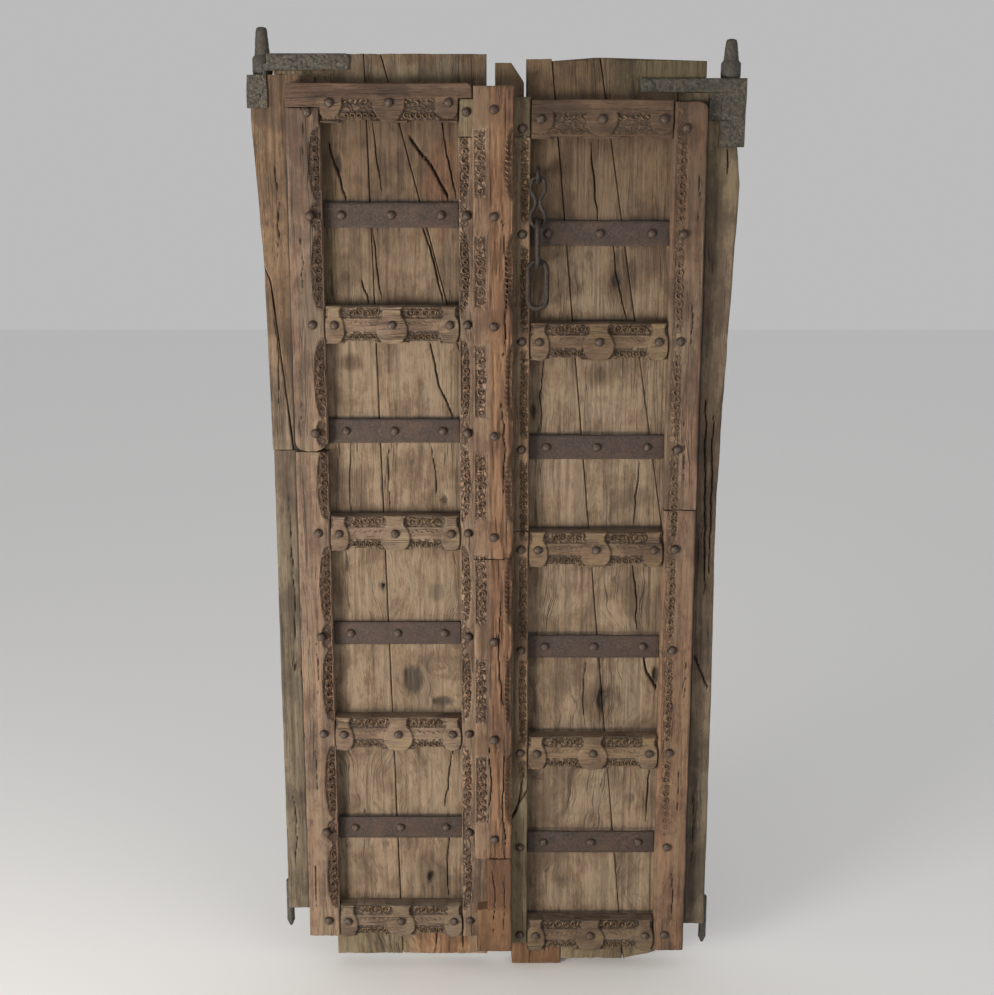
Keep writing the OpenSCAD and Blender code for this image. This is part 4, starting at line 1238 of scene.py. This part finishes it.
def facing_out(mesh):
    """Turns a closed mesh's faces outward."""
    bm = bmesh.new()
    bm.from_mesh(mesh)
    bmesh.ops.recalc_face_normals(bm, faces=bm.faces)
    bm.to_mesh(mesh)
    bm.free()
    return mesh


def oval(x, y, low, high, half_width, bar, plane="xz", steps=12):
    """Centre line of an oval link between two heights, in mm, in the xz or the yz plane."""
    r = half_width - bar
    points = []
    for end, start in ((high - bar - r, 0), (low + bar + r, 180)):
        for k in range(steps + 1):
            a = math.radians(start + 180 * k / steps)
            points.append((r * math.cos(a), end + r * math.sin(a)))
    if plane == "xz":
        return [(x + u, y, z) for u, z in points]
    return [(x, y + u, z) for u, z in points]


def lathe(name, x, y, profile, turns=20, seed=5):
    """A forged round piece on an upright axis: profile is a list of (radius, height) in mm."""
    noise = Noise(seed)
    points = []
    for k, (r, z) in enumerate(profile):
        for j in range(turns):
            a = math.tau * j / turns
            rough = 1 - 0.06 * float(noise(np.array(k * 0.8), np.array(j * 0.7)))
            points.append((x + r * rough * math.cos(a), y + r * rough * math.sin(a), z))
    points = np.array(points) * MM
    mesh = new_mesh(name, points, tube_faces(len(profile), turns))
    add_facts(mesh, points, np.zeros(len(points)), np.ones((len(points), 3)))
    return facing_out(mesh)


def pin_mesh(node, collar=None):
    """A pivot pin inside the box of its CAD node: rod, collar at its root and a worn tip."""
    lo, hi = (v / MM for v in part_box(node))
    x, y = (lo.x + hi.x) / 2, (lo.y + hi.y) / 2
    if collar:
        low, high, rod = collar
        profile = [(8, lo.z), (8.5, low), (20, low + 0.5), (21, low + 5), (20.6, high - 5), (17, high)]
        for k in range(10):
            taper = 4.5 * (1 - k / 9)
            profile.append((rod + taper - 0.3 * (k % 2), high + (hi.z - high - 6) * k / 9))
        profile += [(rod - 2.0, hi.z - 2), (rod - 7, hi.z)]
        return lathe(node + "_mesh", x, y, profile)
    profile = [(1.5, lo.z), (3, lo.z + 1), (8.6, lo.z + 14)]
    for k in range(6):
        profile.append((9 - 0.3 * (k % 2), lo.z + 16 + (hi.z - lo.z - 17) * k / 5))
    profile.append((8, hi.z))
    return lathe(node + "_mesh", x, y, profile)


def stud_mesh(node, material, motif, jitter=0.05):
    """Heads of all studs of a CAD node, each in the middle of its solid."""
    places = []
    for low, high in clusters(node):
        r = (high[0] - low[0]) / 2 / MM
        places.append(((low[0] + high[0]) / 2 / MM, low[1] / MM + 8.0, (low[2] + high[2]) / 2 / MM, 0, r))
    return scatter(node + "_look", motif, places, material, 6.0, jitter, 4)


# ---------------------------------------------------------------- settings


class DoorWoodSettings(bpy.types.PropertyGroup):
    """How finely the worn boards are built."""

    board_across: bpy.props.FloatProperty(
        name="Board grid across", description="Grid of the boards across the grain, mm", default=2.4
    )
    board_along: bpy.props.FloatProperty(
        name="Board grid along", description="Grid of the boards along the grain, mm", default=6.6
    )
    frame_across: bpy.props.FloatProperty(
        name="Frame grid across", description="Grid of stiles and batten across the grain, mm", default=2.3
    )
    frame_along: bpy.props.FloatProperty(
        name="Frame grid along", description="Grid of stiles and batten along the grain, mm", default=4.0
    )
    rail_grid: bpy.props.FloatProperty(
        name="Rail grid", description="Grid of the carved rails, mm", default=1.8
    )
    arris: bpy.props.FloatProperty(
        name="Worn arris", description="Radius of the worn edges, mm", default=3.0
    )


class DoorCarvingSettings(bpy.types.PropertyGroup):
    """How even the carved motifs are."""

    turn_play: bpy.props.FloatProperty(
        name="Turn play", description="How unevenly motifs are turned", default=0.5, subtype="ANGLE"
    )
    size_play: bpy.props.FloatProperty(
        name="Size play", description="How much smaller some motifs are", default=0.22
    )
    seed: bpy.props.IntProperty(name="Seed", description="Seed of the carving", default=7)


class DoorStageSettings(bpy.types.PropertyGroup):
    """Light and camera."""

    sky: bpy.props.FloatProperty(name="Sky", description="Strength of the pale surround", default=0.5)
    key: bpy.props.FloatProperty(name="Key", description="Power of the key light, W", default=210.0)
    fill: bpy.props.FloatProperty(name="Fill", description="Power of the fill light, W", default=25.0)
    lens: bpy.props.FloatProperty(name="Lens", description="Focal length, mm", default=55.5)
    distance: bpy.props.FloatProperty(
        name="Distance", description="Camera in front of the boards", default=3.2, unit="LENGTH"
    )
    height: bpy.props.FloatProperty(
        name="Height", description="Camera height", default=1.856, unit="LENGTH"
    )
    tilt: bpy.props.FloatProperty(
        name="Tilt", description="Downward tilt of the camera", default=0.2307, subtype="ANGLE"
    )


# ---------------------------------------------------------------- operators


class DoorOperator:
    """What all the operators share."""

    bl_options = {"REGISTER", "UNDO"}

    def execute(self, context):
        """Builds the pieces; an error inside reaches the caller."""
        self.build(context, context.scene.door_wood)
        return {"FINISHED"}


class DOOR_OT_boards(DoorOperator, bpy.types.Operator):
    """Builds the panel boards of both leaves"""

    bl_idname = "door.boards"
    bl_label = "Panel boards"

    def build(self, context, wood):
        steps = (wood.board_across, wood.board_along)
        faces = {
            "left_board_outer": left_board_face,
            "left_board_middle": left_board_face,
            "left_board_wedge": left_board_face,
            "right_board_edge": right_board_face,
            "right_board_inner": right_board_face,
            "right_board_middle": right_board_face,
            "right_board_outer": right_board_face,
            "right_board_repair": new_board_face,
        }
        for k, (node, face) in enumerate(faces.items()):
            finish = materials()[SLOT_OF[node]]
            shape = {"step": steps, "arris": 1.6, "ragged": 0.2, "ends": 2.5}
            add_wood(node, face, finish, seed=11 + k, **shape)


class DOOR_OT_pivot_boards(DoorOperator, bpy.types.Operator):
    """Builds the thicker boards that the pivot pins are set in"""

    bl_idname = "door.pivot_boards"
    bl_label = "Pivot boards"

    def build(self, context, wood):
        nodes = ("left_pivot_board", "left_pivot_slip", "left_pivot_board_lower", "right_pivot_post")
        for k, node in enumerate(nodes):
            finish = materials()[SLOT_OF[node]]
            steps = (wood.board_across, wood.board_along)
            shape = {"step": steps, "arris": 2.5, "ragged": 1.2, "ends": 1.0}
            add_wood(node, pivot_face, finish, seed=31 + k, **shape)


class DOOR_OT_stiles(DoorOperator, bpy.types.Operator):
    """Builds the hinge stiles and the meeting stiles"""

    bl_idname = "door.stiles"
    bl_label = "Stiles"

    def build(self, context, wood):
        nodes = sorted(n for n in frame["nodes"] if "_stile" in n)
        for k, node in enumerate(nodes):
            face = hinge_stile_face if "hinge" in node else meeting_stile_face
            finish = materials()[SLOT_OF[node]]
            steps = (wood.frame_across, wood.frame_along)
            shape = {"step": steps, "arris": wood.arris + 1, "ragged": 1.5}
            shape["corner"] = 26 if node == "left_hinge_stile_upper" else 0
            add_wood(node, face, finish, seed=41 + k, **shape)


class DOOR_OT_rails(DoorOperator, bpy.types.Operator):
    """Builds the carved rails"""

    bl_idname = "door.rails"
    bl_label = "Rails"

    def build(self, context, wood):
        tops = {"left_top_rail": top_rail_face, "right_top_rail": right_top_rail_face}
        k = 0
        for side in ("left", "right"):
            for name in RAILS:
                node = f"{side}_{name}"
                face = tops.get(node, rail_face)
                finish = materials()[SLOT_OF[node]]
                steps = (wood.rail_grid, wood.rail_grid)
                shape = {"step": steps, "upright": False, "arris": wood.arris - 1, "ragged": 1.2}
                add_wood(node, face, finish, seed=61 + k, **shape)
                k += 1


class DOOR_OT_batten(DoorOperator, bpy.types.Operator):
    """Builds the cover batten and its later foot"""

    bl_idname = "door.batten"
    bl_label = "Cover batten"

    def build(self, context, wood):
        faces = {"batten_upper": batten_face, "batten_lower": batten_face, "batten_repair": repair_face}
        for k, (node, face) in enumerate(faces.items()):
            finish = materials()[SLOT_OF[node]]
            steps = (wood.frame_across, wood.frame_along)
            add_wood(node, face, finish, step=steps, seed=81 + k, arris=wood.arris + 2, ragged=2.5)


class DOOR_OT_carving(DoorOperator, bpy.types.Operator):
    """Sets the scrolls, leaves and bars of the carving on the frame pieces"""

    bl_idname = "door.carving"
    bl_label = "Carving"

    def build(self, context, wood):
        play = context.scene.door_carving
        finish = materials()["wood_frame"]
        motifs = (scroll_motif(), leaf_motif(), bar_motif())
        for side, body in (("left", LEFT), ("right", RIGHT)):
            parts = []
            for motif, places in zip(motifs, carving_places(side)):
                name = f"{side}_{motif.name}"
                parts.append(
                    scatter(name, motif, places, finish, play.turn_play, play.size_play, play.seed)
                )
            mesh = joined(f"{side}_carving", parts)
            add_piece(f"{side}_carving", mesh, finish, body=body)


class DOOR_OT_straps(DoorOperator, bpy.types.Operator):
    """Builds the iron straps across the panels and the corner irons"""

    bl_idname = "door.straps"
    bl_label = "Iron straps"

    def build(self, context, wood):
        nodes = [n for n in sorted(frame["nodes"]) if "_strap_" in n and "studs" not in n]
        for k, node in enumerate(nodes):
            finish = materials()[SLOT_OF[node]]
            shape = {"step": (3.0, 4.0), "upright": False, "arris": 1.4, "ragged": 0.8}
            add_wood(node, iron_face, finish, seed=91 + k, **shape)
        for k, node in enumerate(("left_corner_iron", "right_corner_iron")):
            finish = materials()[SLOT_OF[node]]
            add_wood(node, corner_face, finish, step=(2.0, 1.6), seed=101 + k, arris=1.2, ragged=2.6)


class DOOR_OT_studs(DoorOperator, bpy.types.Operator):
    """Sets the heads of the studs and nails"""

    bl_idname = "door.studs"
    bl_label = "Studs"

    def build(self, context, wood):
        head = dome_motif("stud_head", 0.80, 0.7)
        nail = dome_motif("nail_head", 0.36, 0.2, 0.06)
        for node in sorted(n for n in frame["nodes"] if n.endswith("_studs")):
            finish = materials()[SLOT_OF[node]]
            add_piece(node + "_look", stud_mesh(node, finish, head), finish, [node])
        for node in ("left_iron_nails", "right_iron_nails"):
            finish = materials()[SLOT_OF[node]]
            places = []
            for low, high in clusters(node):
                r = (high[0] - low[0]) / 2 / MM
                middle = ((low[0] + high[0]) / 2 / MM, low[1] / MM + 2.9, (low[2] + high[2]) / 2 / MM)
                places.append((*middle, 0, r))
            mesh = scatter(node + "_look", nail, places, finish, 3.0, 0.08, 5)
            add_piece(node + "_look", mesh, finish, [node])


class DOOR_OT_pins(DoorOperator, bpy.types.Operator):
    """Builds the pivot pins"""

    bl_idname = "door.pins"
    bl_label = "Pivot pins"

    def build(self, context, wood):
        collars = {"left_top_pin": (1979, 2016, 12), "right_top_pin": (1972, 2006, 12)}
        for node in ("left_top_pin", "right_top_pin", "left_foot_pin", "right_foot_pin"):
            finish = materials()[SLOT_OF[node]]
            add_piece(node + "_look", pin_mesh(node, collars.get(node)), finish, [node])


class DOOR_OT_chain(DoorOperator, bpy.types.Operator):
    """Builds the staple, the figure-eight link, the long link and the ring"""

    bl_idname = "door.chain"
    bl_label = "Chain"

    def build(self, context, wood):
        x, y = 83.0, -27.0
        finish = materials()["chain_iron"]
        eye = [
            (x, y + 13 * math.sin(a), 1781 + 13 * math.cos(a))
            for a in (math.tau * k / 24 for k in range(24))
        ]
        ring = swept("staple_eye", eye, [4.9] * 24, seed=2)
        leg = [(x, -14 + 61.5 * k / 8, 1781) for k in range(9)]
        shank = swept("staple_leg", leg, [4.9] * 9, closed=False, seed=3)
        add_piece("chain_staple_look", joined("staple", [ring, shank]), finish, ["chain_staple"])
        add_piece("chain_link_look", figure_eight(x, y, 1674.4, 1782.4), finish, ["chain_link"])
        long_path = oval(x, y, 1591.8, 1696.8, 21.0, 6.0, "yz")
        long_link = swept("long_link", long_path, [5.95] * len(long_path), seed=6)
        add_piece("chain_long_link_look", long_link, finish, ["chain_long_link"])
        ring_path = oval(x, y, 1507.3, 1616.1, 25.0, 6.0)
        last = swept("ring", ring_path, [5.95] * len(ring_path), seed=8)
        add_piece("chain_ring_look", last, finish, ["chain_ring"])


def figure_eight(x, y, low, high):
    """One bar bent into two loops that are pinched together at the waist."""
    middle, top = (low + high) / 2, (high - low) / 2 - 4.4
    path, radii = [], []
    turns = 56
    for k in range(turns):
        t = math.tau * k / turns
        z = top * math.cos(t)
        u = abs(z) / top
        width = 14.5 * math.sqrt(max(0.0, 1 - ((u - 0.62) / 0.38) ** 2)) if u > 0.62 else None
        if width is None:
            s = min(1.0, max(0.0, u - 0.08) / 0.44)
            width = 4.7 + 9.8 * (s * s * (3 - 2 * s))
        sign = 1 if math.sin(t) >= 0 else -1
        path.append((x + sign * width, y, middle + z))
        radii.append(4.7)
    return swept("figure_eight", path, radii, seed=4)


class DOOR_OT_stage(DoorOperator, bpy.types.Operator):
    """Sets the floor, the light and the camera"""

    bl_idname = "door.stage"
    bl_label = "Stage"

    def build(self, context, wood):
        stage = context.scene.door_stage
        floor = Shader("floor_look")
        inputs = {"Base Color": (0.92, 0.92, 0.92, 1.0), "Roughness": 0.9}
        surface = floor.node("ShaderNodeBsdfPrincipled", inputs=inputs)
        floor.node("ShaderNodeOutputMaterial", inputs={"Surface": surface})
        size = 12.0
        mesh = bpy.data.meshes.new("floor")
        corners = [(-size, -size, 0), (size, -size, 0), (size, size, 0), (-size, size, 0)]
        mesh.from_pydata(corners, [], [(0, 1, 2, 3)])
        mesh.materials.append(floor.material)
        ground = bpy.data.objects.new("floor", mesh)
        context.scene.collection.objects.link(ground)
        world = bpy.data.worlds.new("surround")
        world.use_nodes = True
        background = world.node_tree.nodes["Background"]
        background.inputs["Color"].default_value = (1.0, 1.0, 1.0, 1.0)
        background.inputs["Strength"].default_value = stage.sky
        context.scene.world = world
        lights = (
            ("key", stage.key, 1.5, (-2.5, -2.6, 0.5), (0.0, 0.0, 0.95)),
            ("fill", stage.fill, 3.0, (2.6, -3.0, 2.6), (0.0, 0.0, 1.1)),
        )
        for name, power, width, place, target in lights:
            data = bpy.data.lights.new(name, "AREA")
            data.energy, data.size = power, width
            data.color = (1.0, 0.93, 0.83)
            lamp = bpy.data.objects.new(name, data)
            lamp.location = place
            aim = Vector(target) - Vector(place)
            lamp.rotation_euler = aim.to_track_quat("-Z", "Y").to_euler()
            context.scene.collection.objects.link(lamp)
        data = bpy.data.cameras.new("camera")
        data.lens, data.sensor_width = stage.lens, 36.0
        camera = bpy.data.objects.new("camera", data)
        camera.location = (0.0005, BOARD_FRONT - stage.distance, stage.height)
        camera.rotation_euler = (math.radians(90) - stage.tilt, 0.0, 0.0)
        context.scene.collection.objects.link(camera)
        context.scene.camera = camera
        context.scene.view_settings.view_transform = "Standard"


OPERATORS = (
    DOOR_OT_boards,
    DOOR_OT_pivot_boards,
    DOOR_OT_stiles,
    DOOR_OT_rails,
    DOOR_OT_batten,
    DOOR_OT_carving,
    DOOR_OT_straps,
    DOOR_OT_studs,
    DOOR_OT_pins,
    DOOR_OT_chain,
    DOOR_OT_stage,
)


class DOOR_PT_panel(bpy.types.Panel):
    """Buttons that build the door, one for each kind of piece"""

    bl_idname = "DOOR_PT_panel"
    bl_label = "Door leaves"
    bl_space_type = "VIEW_3D"
    bl_region_type = "UI"
    bl_category = "Door"

    def draw(self, context):
        for group in ("door_wood", "door_carving", "door_stage"):
            settings = getattr(context.scene, group)
            box = self.layout.box()
            for name in settings.__annotations__:
                box.prop(settings, name)
        for operator in OPERATORS:
            self.layout.operator(operator.bl_idname)


SETTINGS = {
    "door_wood": DoorWoodSettings,
    "door_carving": DoorCarvingSettings,
    "door_stage": DoorStageSettings,
}


def register():
    """Registers the settings, the operators and the panel."""
    for cls in (*SETTINGS.values(), *OPERATORS, DOOR_PT_panel):
        bpy.utils.register_class(cls)
    for name, cls in SETTINGS.items():
        setattr(bpy.types.Scene, name, bpy.props.PointerProperty(type=cls))


def unregister():
    """Takes them away again."""
    for name in SETTINGS:
        delattr(bpy.types.Scene, name)
    for cls in (DOOR_PT_panel, *reversed(OPERATORS), *reversed(SETTINGS.values())):
        bpy.utils.unregister_class(cls)


def plain(bounds):
    """The bounds as rounded numbers."""
    return [[round(float(c), 5) for c in corner] for corner in bounds]


def main():
    """Builds every piece."""
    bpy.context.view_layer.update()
    register()
    for operator in OPERATORS:
        group, name = operator.bl_idname.split(".")
        getattr(getattr(bpy.ops, group), name)()


if __name__ == "__main__":
    main()
